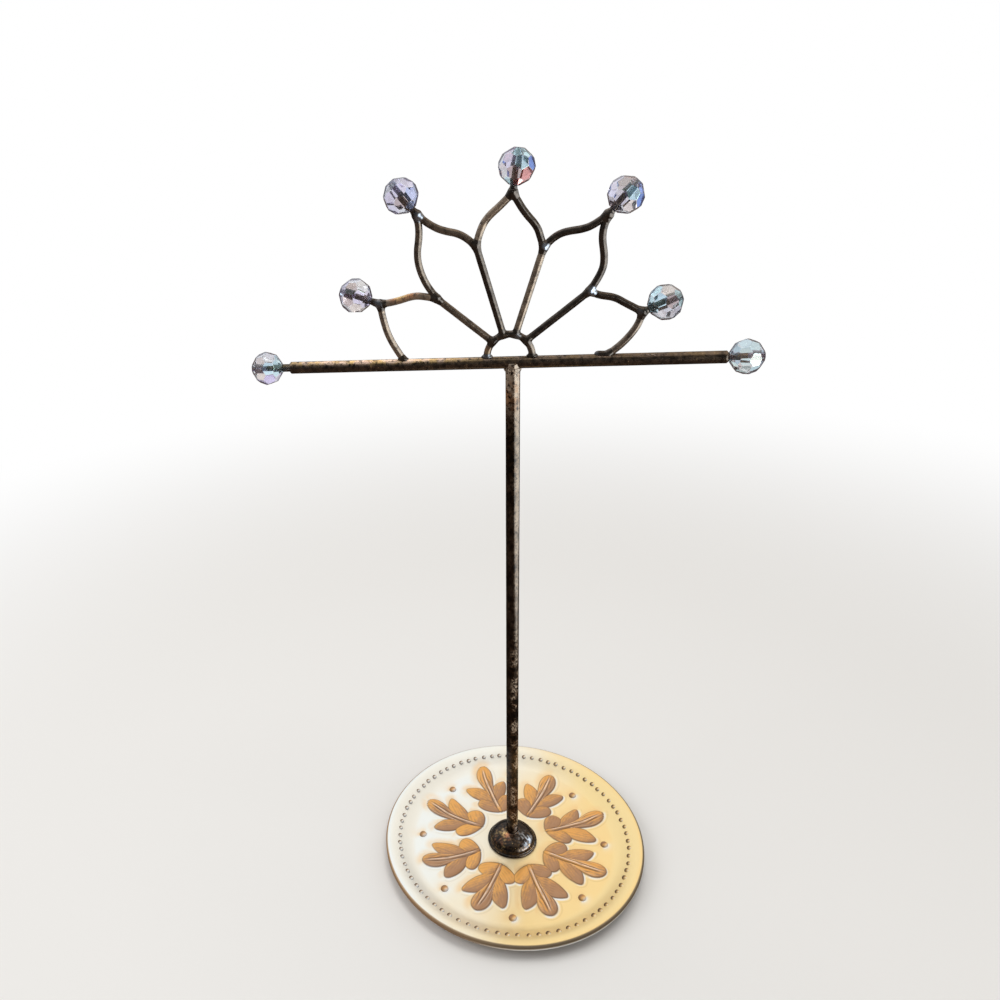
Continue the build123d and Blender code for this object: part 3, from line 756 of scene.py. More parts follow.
# Outline of the rounded edge, the underside with its recess, and the screw's seat and hole
def wallProfile():
    edge, radius = plate["edgeRound"], plate["radius"]
    top = plate["floor"] + plate["rimRise"]
    low = top - plate["edgeThickness"]
    wall = []
    degrees, steps = plate["upperRound"]
    for index in range(1, steps + 1):
        lift = radians(degrees) * (1 - index / steps)
        wall.append((radius - edge + edge * cos(lift), top - edge + edge * sin(lift)))
    degrees, steps = plate["lowerRound"]
    for index in range(steps + 1):
        lift = radians(degrees) * index / steps
        wall.append((radius - edge + edge * cos(lift),
                     low + edge * plate["lowerEdge"] - edge * sin(lift)))
    aside, above = plate["footRound"]
    return wall + [(plate["floorRadius"] + aside, plate["underside"] + above),
                   (plate["floorRadius"] - aside, plate["underside"]),
                   (plate["recessRadius"], plate["underside"]),
                   (plate["recessRadius"], plate["recessTop"]),
                   (plate["seatRadius"], plate["recessTop"]), (plate["screwHole"], plate["seatTop"]),
                   (plate["screwHole"], plate["floor"]), (plate["innerRadius"], plate["floor"])]


# A low dome, sunk a little into what it stands on
def dome(centre, radius, height, sides, rings, sunk):
    points = []
    for ring in range(rings - 1):
        lift = ring / (rings - 1) * pi / 2
        r, z = radius * cos(lift) ** 0.8, height * sin(lift)
        points += [(centre[0] + r * cos(2 * pi * s / sides), centre[1] + r * sin(2 * pi * s / sides),
                    centre[2] - sunk + z) for s in range(sides)]
    top = len(points) - sides
    faces = gridFaces(rings - 1, sides)
    faces += [(top + s, top + (s + 1) % sides, len(points)) for s in range(sides)]
    return points + [(centre[0], centre[1], centre[2] - sunk + height)], faces


# Adds values for more points to every field: the marks given, and nothing in the others
def addMarks(fields, marks, count):
    for key in fields:
        fields[key] += list(marks.get(key, [0.0] * count))


# Painted light on a stud or a dot: a painted highlight on one side, painted shade round its foot and on
# the other side
def knobMarks(points, centre, size, height, shaded):
    spots = np.array(points) - centre
    share = np.clip(spots[:, 2] / height, 0, None)
    towards = (spots[:, 0] * shine["side"][0] + spots[:, 1] * shine["side"][1]) / size
    gain, start = shine["knobPaintedHighlight"]
    least, more, past = shine["knobPaintedLight"]
    rise, dark, eased = shine["knobFoot"]
    far, fall = shine["knobFar"]
    foot = (1 - np.clip(share * rise, 0, 1)) * (dark - eased * np.clip(towards, 0, None))
    return {"leafTone": np.clip(shine["knobTone"] - shaded - towards, 0, 1),
            "bright": np.clip(gain * towards - start, 0, 1),
            "gilt": least + more * np.clip(towards + past, 0, None),
            "line": np.maximum(foot, shaded * np.clip(far - towards * fall, 0, 1))}


# Circle, turn, radius and make of each stud, and of each dot of the slightly uneven ring
def knobPlaces():
    places = [(studMake["circle"], studTurn(stud), studMake["radius"], studMake)
              for stud in range(leafMake["count"])]
    outwards, turned, larger = dotMake["uneven"]
    places += [(plate["ring"] + outwards * sin(dot * 3.7),
                360 / dotMake["count"] * dot + turned * sin(dot * 1.9),
                dotMake["radius"] * (1 + larger * sin(dot * 5.1)), dotMake)
               for dot in range(dotMake["count"])]
    return places


def footPlate():
    radii, angles = plateGrid()
    points, fields = embossedTop(radii, angles)
    wall, columns = wallProfile(), len(angles)
    rings = len(radii) + len(wall)
    points += [(r * cos(a), r * sin(a), z) for r, z in wall for a in angles]
    # Painted shade on the edge wall, and a painted highlight along its lower lip on the highlit side
    facing = np.cos(angles) * shine["side"][0] + np.sin(angles) * shine["side"][1]
    for index in range(len(wall)):
        lip = smoothRise(facing, *shine["lipFacing"]) * (index in shine["lipRows"])
        addMarks(fields, {"edge": shine["edge"] * (1 - lip), "bright": lip}, columns)
    faces = gridFaces(rings, columns) + ringFaces((rings - 1) * columns, 0, columns)
    for circle, turn, size, make in knobPlaces():
        seat = float(saucerHeight(np.array(circle)))
        centre = circle * cos(radians(turn)), circle * sin(radians(turn)), seat
        more, moreFaces = dome(centre, size, make["height"] + dotMake["sunk"], make["sides"],
                               make["rings"], dotMake["sunk"])
        faces += [tuple(len(points) + corner for corner in face) for face in moreFaces]
        points += more
        addMarks(fields, knobMarks(more, centre, size, make["height"], make["shaded"]), len(more))
    mesh = smoothMesh("footPlate", points, faces, fields)
    newPiece("foot_plate", mesh, gold, "plate_gold", "base_plate")


footPlate()
print("stage: foot plate")

for name, material in (("base_pad", pressedFelt()), ("base_screw", platedSteel())):
    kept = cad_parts[name].data.materials
    kept.clear()
    kept.append(material)


# Boss, post and crossbar. The spots on the boss are measured from the foot of the post
boss = {
    "flange": 11.6, "flangeTop": 1.2, "dome": 10.7, "height": 7.0, "bore": 2.75, "sides": 160,
    "steps": 26, "easedEdge": 0.3, "upperEdge": (0.35, 0.4), "domeFoot": (0.15, 0.02),
    "crownRim": (0.3, 0.02), "crown": 0.35, "dent": 0.06, "dentSize": 3.5, "trueRim": 0.2,
    # The glint is a painted highlight
    "paintedGlint": ((-3.1, -3.1, 6.3), 1.7), "paintedGlintFill": 0.25,
    "ruddy": ((-5.0, -4.4, 5.2), 6.4), "ruddyFill": 1.6, "ruddyShare": 0.42,
    # The cool spot is a painted reflection on the boss's right side
    "ruddyBreaks": (-0.1, 0.3), "paintedCoolShine": ((5.6, -3.6, 5.0), 4.6), "paintedCoolBreaks": (0.0, 0.35),
}
post = {
    "radius": 2.7, "foot": 2.8, "top": 237.9, "step": 0.7, "sides": 36, "uneven": 0.05,
    "brassFrom": (0.90, 0.96), "brass": 0.62, "brassFade": 0.46,
    # The post is left unflecked on its left side as painted shade, and paled on its right side as a
    # painted highlight
    "fleckEnd": (95.0, 135.0), "plain": 0.9, "paintedShadeSide": (-0.6, 1.4),
    "pale": 0.34, "paintedStreakBreaks": 0.20, "paintedStreakSide": (0.0, 1.5),
}
bar = {
    "height": 237.9, "radius": 2.25, "left": -83.2, "right": 74.6, "neck": 1.45, "neckLeft": 3.0,
    "neckRight": 0.4, "neckSteps": (0.15, 0.1), "pin": 1.0, "pinPast": 0.6, "pinEnd": (0.6, 0.3),
    "chamfer": 0.5, "step": 0.7, "sides": 32, "uneven": 0.05, "beadReach": 5.8, "pale": 0.2,
    # The rub on the bar's top is partly worn brass and partly a painted highlight, most on the left
    "rubShineTop": (0.30, 0.70), "rubShinePlace": -50, "rubShineReach": 30, "rubShineFull": 1.4, "rub": 0.80,
    "rubShineEverywhere": 0.10, "plainEnds": (1.2, 1.0), "pinStep": 0.05,
}


def bossProfile():
    low, ease, bore = post["foot"], boss["easedEdge"], boss["bore"]
    flangeTop = low + boss["flangeTop"]
    (inset, drop), (ledge, step) = boss["upperEdge"], boss["domeFoot"]
    profile = [(bore, low), (boss["flange"] - ease, low), (boss["flange"], low + ease),
               (boss["flange"], flangeTop - drop), (boss["flange"] - inset, flangeTop),
               (boss["dome"] + ledge, flangeTop + step)]
    for index in range(1, boss["steps"] - 1):
        lift = pi / 2 * index / boss["steps"]
        profile.append((max(boss["dome"] * cos(lift), bore + boss["crown"]),
                        flangeTop + (boss["height"] - boss["flangeTop"]) * sin(lift)))
    (rim, drop), crown = boss["crownRim"], low + boss["height"]
    return profile + [(bore + rim, crown - drop), (bore, crown)]


def nearSpot(point, key):
    (x, y, rise), reach = boss[key]
    return nearness(point, (x, y, post["foot"] + rise), reach)


# How bare the boss is rubbed at a point: a painted highlight glint, and a ruddy rubbed patch with
# broken edges
def bossRubAndPaintedGlint(point):
    broken = smoothRise(wobble(point, 1.0, 4.0), *boss["ruddyBreaks"])
    ruddy = clamped(boss["ruddyFill"] * nearSpot(point, "ruddy")) * boss["ruddyShare"]
    return max(clamped(boss["paintedGlintFill"] + nearSpot(point, "paintedGlint")), ruddy * broken)


# A painted cool reflection on the boss's right side, in broken patches
def bossPaintedCoolShine(point):
    broken = smoothRise(wobble(point, 1.1, 2.0), *boss["paintedCoolBreaks"])
    return max(0.0, nearSpot(point, "paintedCoolShine")) * broken


def postBoss():
    profile, sides = bossProfile(), boss["sides"]
    points = []
    for r, z in profile:
        for a in [2 * pi * s / sides for s in range(sides)]:
            flat = r * cos(a), r * sin(a), z
            solid = r > boss["bore"] + boss["trueRim"]          # the bore's edge stays true
            dent = min(0.0, boss["dent"] * wobble(flat, boss["dentSize"], 5.0)) if solid else 0.0
            points.append((flat[0] * (1 + dent / r), flat[1] * (1 + dent / r), z + dent * 0.5))
    faces = gridFaces(len(profile), sides) + ringFaces((len(profile) - 1) * sides, 0, sides)
    fields = {"rub": [bossRubAndPaintedGlint(p) for p in points], "pale": [0.0] * len(points),
              "tin": [bossPaintedCoolShine(p) for p in points]}
    mesh = smoothMesh("postBoss", points, faces, fields)
    domeOnly.objects.link(newPiece("post_boss_turned", mesh, darkBronze, "antique_bronze",
                                   "post_boss"))


dents = ((0.6, 6.0, 0), (0.4, 1.6, 7))                          # broad and fine: share, size, seed


# Radius of a dented rod, as tubeMesh asks for it
def unevenRod(radius, amount, seed):
    def radiusAt(index, here, out):
        point = here + out * radius
        dent = sum(share * wobble(point, size, seed + more) for share, size, more in dents)
        return radius * (1 - amount / radius * (0.5 + 0.5 * dent))
    return radiusAt


# Brass shows just under the crossbar; higher up the post is paler to the right, a painted highlight,
# and low down flecked except on its left side, which is left plain as painted shade
def postRod():
    def rubAndShineAt(share, point, out):
        brass = smoothRise(share + 0.02 * wobble(point, 3.0, 6.0), *post["brassFrom"])
        return brass * (post["brass"] - post["brassFade"] * out.x)

    path = evenPath([Vector((0, 0, post["foot"])), Vector((0, 0, post["top"]))], post["step"])
    mesh = tubeMesh("postRod", path, unevenRod(post["radius"], post["uneven"], 3.0), post["sides"],
                    rubAndShineAt)
    plain, pale = [], []
    for vertex in mesh.vertices:
        p = vertex.co / mm
        high = smoothRise(p.z, *post["fleckEnd"])
        # No flecks high up, nor on the left side, where leaving them out is painted shade; the pale
        # strip to the right is a painted highlight
        plain.append(post["plain"] * max(high, smoothRise(-p.x, *post["paintedShadeSide"])))
        broken = post["pale"] - post["paintedStreakBreaks"] * smoothRise(wobble(p, 5.0, 8.0), -0.3, 0.5)
        pale.append(broken * high * smoothRise(p.x + 0.9 * wobble(p, 2.2, 3.0), *post["paintedStreakSide"]))
    addField(mesh, "plain", plain)
    addField(mesh, "pale", pale)
    newPiece("post_rod", mesh, postBronze, "antique_bronze", "post")


# Places and radii along one end of the bar, pin first; way is -1 at the left and 1 at the right
def barEnd(end, neckLength, neckStep, way):
    shoulder = end + way * neckLength
    tip = shoulder + way * (bar["beadReach"] + bar["pinPast"])
    pin, (tipShare, tipLength) = bar["pin"], bar["pinEnd"]
    return [(tip, pin * tipShare), (tip - way * tipLength, pin),
            (shoulder + way * bar["pinStep"], pin), (shoulder, bar["neck"]),
            (end + way * neckStep, bar["neck"]),
            (end, bar["radius"] - bar["chamfer"]), (end - way * bar["chamfer"], bar["radius"])]


def crossbarRod():
    left, right = bar["left"], bar["right"]
    stations = barEnd(left, bar["neckLeft"], bar["neckSteps"][0], -1)
    first, last = left + bar["plainEnds"][0], right - bar["plainEnds"][1]
    stations += [(x, bar["radius"]) for x in np.arange(first, last, bar["step"])]
    stations += reversed(barEnd(right, bar["neckRight"], bar["neckSteps"][1], 1))

    def radiusAt(index, here, out):
        return unevenRod(stations[index][1], bar["uneven"], 9.0)(index, here, out)

    # The rub on top is partly worn brass and partly a painted highlight
    def rubAndShineAt(share, point, out):                              # rubbed on top, most on the left
        middle = clamped(bar["rubShineFull"] - abs(point.x - bar["rubShinePlace"]) / bar["rubShineReach"])
        low, high = bar["rubShineTop"]
        return clamped((out.z - low) / (high - low)) * (bar["rubShineEverywhere"] + bar["rub"] * middle)

    path = [Vector((x, 0, bar["height"])) for x, _ in stations]
    mesh = tubeMesh("crossbarRod", path, radiusAt, bar["sides"], rubAndShineAt, bar["pale"])
    newPiece("crossbar_rod", mesh, bronze, "antique_bronze", "crossbar")


postBoss()
postRod()
crossbarRod()
print("stage: boss, post and crossbar")


# Fan of petals: points are sideways place and rise above the crossbar's axis
tips = {"left_low": (-47.3, 22.5), "left_high": (-32.6, 52.3), "top": (-0.1, 57.9),
        "right_high": (31.4, 49.4), "right_low": (44.6, 16.7)}
joints = {"left_outer": (-26.8, 23.8), "left_inner": (-12.6, 41.2),
          "right_inner": (10.4, 39.7), "right_outer": (26.3, 24.5)}
feet = {"left": (-38.7, 0.0), "right": (30.4, 0.0)}
wires = {
    "petal_left_low_upper": [tips["left_low"], (-41.3, 23.3), (-34.9, 25.2), (-30.4, 24.6),
                             joints["left_outer"]],
    "petal_left_low_side": [tips["left_low"], (-46.6, 17.0), (-44.6, 9.6), feet["left"]],
    "petal_left_high_side": [tips["left_high"], (-31.9, 46.4), (-33.5, 38.2), (-31.2, 30.0),
                             joints["left_outer"]],
    "petal_left_high_inner": [tips["left_high"], (-28.5, 49.0), (-24.2, 46.8), (-17.6, 45.4),
                              joints["left_inner"]],
    "petal_top_left": [tips["top"], (-3.7, 54.4), (-8.9, 50.2), (-11.1, 46.4),
                       joints["left_inner"]],
    "petal_top_right": [tips["top"], (3.7, 51.6), (8.1, 46.8), (9.4, 42.7),
                        joints["right_inner"]],
    "petal_right_high_inner": [tips["right_high"], (28.3, 47.3), (24.3, 45.2), (16.9, 44.6),
                               (13.2, 42.6), joints["right_inner"]],
    "petal_right_high_side": [tips["right_high"], (29.4, 43.4), (30.9, 35.3), (30.2, 30.9),
                              joints["right_outer"]],
    "petal_right_low_upper": [tips["right_low"], (38.6, 19.9), (34.7, 22.2), (29.6, 22.9),
                              joints["right_outer"]],
    "petal_right_low_side": [tips["right_low"], (43.1, 11.6), (37.7, 5.0), feet["right"]],
}
arch = {"centre": -1.2, "radius": 8.1, "foot": 0.8, "step": 6}
spokes = {"spoke_left_outer": ("left_outer", 137.5), "spoke_left_inner": ("left_inner", 106.0),
          "spoke_right_inner": ("right_inner", 75.0), "spoke_right_outer": ("right_outer", 43.0)}
fan = {
    "wire": 1.33, "step": 0.5, "sides": 20, "uneven": 0.09, "sway": 0.16, "swaySize": 9.0,
    "pale": 0.15, "rub": 0.85, "rubEase": 8, "solderFill": 1.6,
    "ball": 1.95, "ballDepth": 0.95, "jointShare": 0.92, "atEnd": 0.6,
    "armLength": 3.4, "armEnd": 1.16, "armInset": 0.15, "armDip": 0.02,
    "neck": 1.2, "neckRoot": 0.85, "pin": 1.04, "pinRoot": 0.4, "pinPast": 0.6,
    "spokeBall": 1.55, "spokeArms": 1.70, "archArms": (9, 19),
    "voxel": 0.20, "calm": 0.5, "soften": 8, "tipSoften": 6,
}
# How pale a wire's patina is, and between which shares of its length brass is rubbed through
wirePales = {"petal_left_low_upper": 0.75, "petal_top_left": 0.85, "spoke_right_inner": 0.75,
             "petal_left_high_inner": 0.45, "spoke_left_outer": 0.45, "petal_right_low_side": 0.5,
             "petal_left_high_side": 0.35, "petal_left_low_side": 0.6, "fan_arch": 0.35}
wireRubs = {"petal_left_low_upper": (0.15, 0.70), "fan_arch": (0.05, 0.22)}
beads = {      # the pin's direction in degrees, and the bare neck between the ball and the bead
    "left_low": (159.0, 1.6), "left_high": (129.0, 0.5), "top": (81.0, 0.4),
    "right_high": (48.0, 0.2), "right_low": (23.0, 0.2),
}


def inFan(point, depth=0.0):
    return Vector((point[0], depth, bar["height"] + point[1]))


def archPoint(angle):
    return (arch["centre"] + arch["radius"] * cos(radians(angle)),
            bar["radius"] + arch["radius"] * sin(radians(angle)))


for name, (joint, angle) in spokes.items():
    wires[name] = [joints[joint], archPoint(angle)]
archFeet = [(arch["centre"] + way * arch["radius"], arch["foot"]) for way in (-1, 1)]
archLine = [archPoint(angle) for angle in range(180, -1, -arch["step"])]
paths = {}


def fanWire(name, points, rounds=4):
    seed = 3.0 * len(paths)
    path = evenPath(softPath([inFan(p) for p in points], rounds), fan["step"])
    paths[name] = path
    last = len(path) - 1
    swayed = []
    for index, here in enumerate(path):
        calm = sin(pi * index / last) ** 0.5 if 0 < index < last else 0.0
        sway = fan["sway"] * calm * wobble(here, fan["swaySize"], seed)
        swayed.append(here + Vector((0, sway, 0)))
    start, end = wireRubs.get(name, (0.0, 0.0))

    def rubAndShineAt(share, point, out):
        inside = clamped(min(share - start, end - share) * fan["rubEase"])
        return inside * clamped(0.5 + out.z) * fan["rub"]      # on top of the wire

    mesh = tubeMesh(name, swayed, unevenRod(fan["wire"], fan["uneven"], seed), fan["sides"], rubAndShineAt,
                    wirePales.get(name, fan["pale"]))
    newPiece(name + "_wire", mesh, wireBronze, "antique_bronze", name)


for name, points in wires.items():
    fanWire(name, points)
fanWire("fan_arch", [archFeet[0], *archLine, archFeet[1]], 1)
print("stage: fan wires")


# A closed cone between two points, added to a bmesh
def cone(shape, start, end, startRadius, endRadius, sides=18):
    ahead = end - start
    turn = Vector((0, 0, 1)).rotation_difference(ahead.normalized()).to_matrix().to_4x4()
    matrix = Matrix.Translation((start + end) / 2) @ turn
    bmesh.ops.create_cone(shape, cap_ends=True, segments=sides, radius1=startRadius,
                          radius2=endRadius, depth=ahead.length, matrix=matrix)


def ball(shape, centre, radius, squash=(1, fan["ballDepth"], 1)):
    bmesh.ops.create_icosphere(shape, subdivisions=3, radius=radius,
                               matrix=Matrix.Translation(centre) @ Matrix.Diagonal((*squash, 1)))


# Bright solder left on a joint: its place in the fan, how far to the front, its reach and strength
solder = {
    "right_outer": ((27.6, 24.6), -1.4, 2.3, 0.9), "right_inner": ((11.0, 40.2), -1.6, 1.5, 1.0),
    "left_high": ((-31.7, 51.6), -1.5, 2.2, 0.75), "left_low": ((-48.0, 22.8), -1.5, 2.0, 0.45),
    "right_low": ((43.3, 17.2), -1.5, 1.6, 0.25), "arch_left": ((-9.3, 2.6), -1.2, 2.0, 0.3),
    "right": ((28.5, 2.4), -1.3, 2.0, 0.35), "spoke_right_inner": ((1.6, 9.2), -1.3, 1.8, 0.3),
}


# The mesh of an object with its modifiers applied; the object itself goes
def applied(holder, name):
    view = bpy.context.evaluated_depsgraph_get()
    mesh = bpy.data.meshes.new_from_object(holder.evaluated_get(view))
    bpy.data.objects.remove(holder)
    mesh.name = name
    return mesh


# Melts the solids of a bmesh into one skin with soft fillets; soldered names its bright patch
def fused(name, shape, soldered=None, soften=fan["soften"]):
    rough = bpy.data.meshes.new(name + "Rough")
    shape.to_mesh(rough)
    shape.free()
    holder = placed(name + "Rough", rough)
    melt = holder.modifiers.new("melt", "REMESH")
    melt.mode = "VOXEL"
    melt.voxel_size = fan["voxel"]
    calm = holder.modifiers.new("calm", "SMOOTH")
    calm.factor = fan["calm"]
    calm.iterations = soften
    mesh = applied(holder, name)
    mesh.transform(Matrix.Scale(mm, 4))
    mesh.polygons.foreach_set("use_smooth", [True] * len(mesh.polygons))
    tin = [0.0] * len(mesh.vertices)
    if soldered in solder:
        place, front, reach, strength = solder[soldered]
        centre = inFan(place, front) * mm
        tin = [clamped(fan["solderFill"] * nearness(v.co, centre, reach * mm)) * strength
               for v in mesh.vertices]
    for key, values in (("rub", [0.0] * len(tin)), ("pale", [fan["pale"]] * len(tin)), ("tin", tin)):
        addField(mesh, key, values)
    return mesh


# Where each wire that ends at a point has got to after half and one arm's length
def armsAt(point):
    centre, found = inFan(point), []
    steps = int(fan["armLength"] / fan["step"])
    for path in paths.values():
        for line in (path, path[::-1]):
            if (line[0] - centre).length < fan["atEnd"] and len(line) > steps + 1:
                found.append([line[steps // 2], line[steps]])
    return found


def addArms(shape, centre, arms, startRadius):
    middle = (startRadius + fan["armEnd"]) / 2 - fan["armDip"]
    for near, far in arms:
        cone(shape, centre, near, startRadius - fan["armInset"], middle)
        cone(shape, near, far, middle, fan["armEnd"])


def petalJoint(name, point):
    shape = bmesh.new()
    radius = fan["ball"] * fan["jointShare"]
    ball(shape, inFan(point), radius)
    addArms(shape, inFan(point), armsAt(point), radius)
    newPiece("braze_" + name, fused("braze" + name, shape, name), brazeBronze, "braze",
             "braze_joints")


def towardsBead(angle):
    return Vector((cos(radians(angle)), 0, sin(radians(angle))))


def tipPin(side, angle, gap):
    shape = bmesh.new()
    centre, ahead = inFan(tips[side]), towardsBead(angle)
    ball(shape, centre, fan["ball"])
    addArms(shape, centre, armsAt(tips[side]), fan["ball"])
    seat = centre + ahead * (fan["ball"] + gap)
    cone(shape, centre, seat, fan["ball"] * fan["neckRoot"], fan["neck"])
    cone(shape, seat - ahead * fan["pinRoot"], seat + ahead * (bar["beadReach"] + fan["pinPast"]),
         fan["pin"], fan["pin"])
    mesh = fused("tip" + side, shape, side, fan["tipSoften"])
    newPiece("tip_" + side, mesh, brazeBronze, "antique_bronze", "tip_pin_" + side)


def spokeJoint(name, angle):
    shape = bmesh.new()
    centre = inFan(archPoint(angle))
    ball(shape, centre, fan["spokeBall"], (1, 1, 1))
    arms = [[paths[name][-4], paths[name][-7]]]
    arms += [[inFan(archPoint(angle + way * turn)) for turn in fan["archArms"]] for way in (-1, 1)]
    addArms(shape, centre, arms, fan["spokeArms"])
    newPiece("braze_" + name, fused("braze" + name, shape, name), brazeBronze, "braze")


# The wires that end on the bar, and 1 or -1 for the end of their path that does
footing = {"left": ("petal_left_low_side", -1), "right": ("petal_right_low_side", -1),
           "arch_left": ("fan_arch", 1), "arch_right": ("fan_arch", -1)}
footMake = {"sunk": 0.3, "rise": 1.4, "ball": 1.75, "squash": (1.25, 0.92, 0.45), "root": 1.62,
            "end": 1.21, "tail": (-3.2, 0, 0.2), "tailEnds": (1.35, 1.30),
            "tailSquash": (1.05, 0.9, 0.95)}


def footJoint(name, wire, end):
    shape = bmesh.new()
    line, top = paths[wire][::end], bar["height"] + bar["radius"]
    foot = next(p for p in line if p.z > top - footMake["sunk"])
    near = next(p for p in line if p.z > top + footMake["rise"])
    ball(shape, foot, footMake["ball"], footMake["squash"])
    cone(shape, foot, near, footMake["root"], footMake["end"])
    if name == "right":                                        # the wire's end lies along the bar
        tail = foot + Vector(footMake["tail"])
        cone(shape, foot, tail, *footMake["tailEnds"])
        ball(shape, tail, footMake["tailEnds"][0], footMake["tailSquash"])
    newPiece("braze_foot_" + name, fused("brazeFoot" + name, shape, name), brazeBronze, "braze")


weld = {"lumps": 10, "ring": (2.35, 1.9), "lump": 0.92, "uneven": 0.12, "squash": (1, 1, 0.9),
        "sunk": 0.15, "from": -2.2, "to": 0.4, "radii": (2.62, 3.0), "sides": 28}


def postWeld():
    shape = bmesh.new()
    top = bar["height"] - bar["radius"]
    for index in range(weld["lumps"]):
        turn = 2 * pi * index / weld["lumps"]
        spot = (weld["ring"][0] * cos(turn), weld["ring"][1] * sin(turn), top - weld["sunk"])
        ball(shape, Vector(spot), weld["lump"] + weld["uneven"] * sin(index * 2.7), weld["squash"])
    cone(shape, Vector((0, 0, top + weld["from"])), Vector((0, 0, top + weld["to"])),
         *weld["radii"], weld["sides"])
    newPiece("post_weld_bead", fused("postWeld", shape), postBronze, "braze", "post_weld")


for name, point in joints.items():
    petalJoint(name, point)
for side, (angle, gap) in beads.items():
    tipPin(side, angle, gap)
for name, (joint, angle) in spokes.items():
    spokeJoint(name, angle)
for name, (wire, end) in footing.items():
    footJoint(name, wire, end)
postWeld()
print("stage: brazed joints")


# Crystal beads: the rows of facets are tilts in degrees, and shares of a facet that they turn by
bead = {
    "flats": 11.4, "length": 11.6, "blank": 16, "facets": 8,
    "rows": [(19.0, 0.0), (-19.0, 0.5), (54.0, 0.5), (-54.0, 0.0)],
    "bore": 0.98, "boreSides": 24,                              # cemented onto the pin
    "drillPast": 1.0, "merge": 0.002, "easedEdge": 0.09, "easedOver": 8,
    "smallFacet": 1.5, "farSide": 0.2, "spin": 0.3,
    "sheens": (0.05, 0.12, 0.22), "smallSheen": 0.1,
    "smallTints": ("clear", "seam"), "farTints": ("water", "clear", "water", "ice"),
}
facetTones = {
    "clear": (0.81, 0.83, 0.91), "ice": (0.50, 0.87, 1.0), "blue": (0.10, 0.22, 0.95),
    "violet": (0.55, 0.48, 0.90), "lilac": (0.70, 0.66, 0.90), "warm": (0.85, 0.76, 0.70),
    "grey": (0.46, 0.44, 0.52), "coral": (0.98, 0.30, 0.28), "brown": (0.46, 0.35, 0.34),
    "sky": (0.45, 0.56, 0.98), "seam": (0.55, 0.53, 0.60), "water": (0.93, 0.94, 0.97),
}
# Where on a bead each tint lies, sideways and upwards from its middle; a facet takes the nearest. The
# layout paints the coating's bright flashes and the glass's darker parts: painted reflections and
# painted shade over the coating's tints
beadTones = {
    "bar_left": [(0.5, 0.15, "ice"), (0.0, -0.5, "violet"), (-0.4, 0.3, "warm"), (-0.8, 0.0, "clear"),
                 (0.0, 0.8, "clear"), (0.8, -0.5, "lilac")],
    "bar_right": [(-0.8, 0.2, "grey"), (0.0, 0.1, "warm"), (0.1, 0.8, "clear"), (0.8, 0.2, "lilac"),
                  (0.3, -0.8, "clear"), (-0.6, -0.6, "warm")],
    "left_low": [(-0.8, 0.2, "lilac"), (-0.2, 0.1, "brown"), (0.4, 0.7, "clear"),
                 (0.8, 0.1, "lilac"), (0.1, -0.8, "warm"), (-0.6, -0.6, "clear")],
    "left_high": [(-0.7, 0.4, "clear"), (0.2, 0.8, "lilac"), (0.7, 0.1, "sky"), (0.1, -0.1, "brown"),
                  (-0.6, -0.4, "lilac"), (0.0, -0.9, "clear")],
    "top": [(-0.8, 0.0, "clear"), (-0.4, 0.6, "lilac"), (0.4, 0.5, "ice"), (0.9, 0.1, "blue"),
            (0.5, -0.6, "coral"), (-0.1, 0.0, "brown"), (-0.5, -0.7, "ice")],
    "right_high": [(-0.6, 0.5, "lilac"), (0.1, 0.8, "brown"), (0.8, 0.1, "blue"), (0.1, 0.0, "ice"),
                   (-0.7, -0.2, "grey"), (0.4, -0.8, "warm"), (-0.2, -0.7, "clear")],
    "right_low": [(-0.8, 0.1, "ice"), (0.0, 0.1, "brown"), (0.8, 0.2, "ice"), (0.1, 0.8, "warm"),
                  (0.5, -0.6, "grey"), (-0.3, -0.8, "clear")],
}


def nearestTint(side, place):
    return min(beadTones[side], key=lambda spot: hypot(spot[0] - place.x, spot[1] - place.z))[2]


# Cuts a facet off a bmesh and closes the cut
def cutFacet(shape, turn, tilt):
    normal = Vector((cos(turn) * cos(tilt), sin(turn) * cos(tilt), sin(tilt)))
    cut = bmesh.ops.bisect_plane(shape, geom=shape.verts[:] + shape.edges[:] + shape.faces[:],
                                 plane_co=normal * bead["flats"] / 2, plane_no=normal,
                                 clear_outer=True)
    rim = [item for item in cut["geom_cut"] if isinstance(item, bmesh.types.BMEdge)]
    bmesh.ops.holes_fill(shape, edges=rim, sides=0)


def meshOf(shape, name):
    mesh = bpy.data.meshes.new(name)
    shape.to_mesh(mesh)
    shape.free()
    return mesh


def facetedMesh(name):
    shape = bmesh.new()
    bmesh.ops.create_cube(shape, size=1.0,
                          matrix=Matrix.Diagonal((bead["blank"], bead["blank"], bead["length"], 1)))
    for tilt, stagger in bead["rows"]:
        for facet in range(bead["facets"]):
            cutFacet(shape, 2 * pi * (facet + stagger) / bead["facets"], radians(tilt))
    bmesh.ops.remove_doubles(shape, verts=shape.verts, dist=bead["merge"])
    holder = placed(name, meshOf(shape, name))
    rod = bmesh.new()
    bmesh.ops.create_cone(rod, cap_ends=True, segments=bead["boreSides"], radius1=bead["bore"],
                          radius2=bead["bore"], depth=bead["length"] + 2 * bead["drillPast"])
    drill = placed("drill", meshOf(rod, "drill"))
    bore = holder.modifiers.new("bore", "BOOLEAN")
    bore.operation = "DIFFERENCE"
    bore.solver = "EXACT"
    bore.object = drill
    edge = holder.modifiers.new("edge", "BEVEL")
    edge.width = bead["easedEdge"]
    edge.segments = 1
    edge.limit_method = "ANGLE"
    edge.angle_limit = radians(bead["easedOver"])
    mesh = applied(holder, name)
    bpy.data.objects.remove(drill)
    return mesh


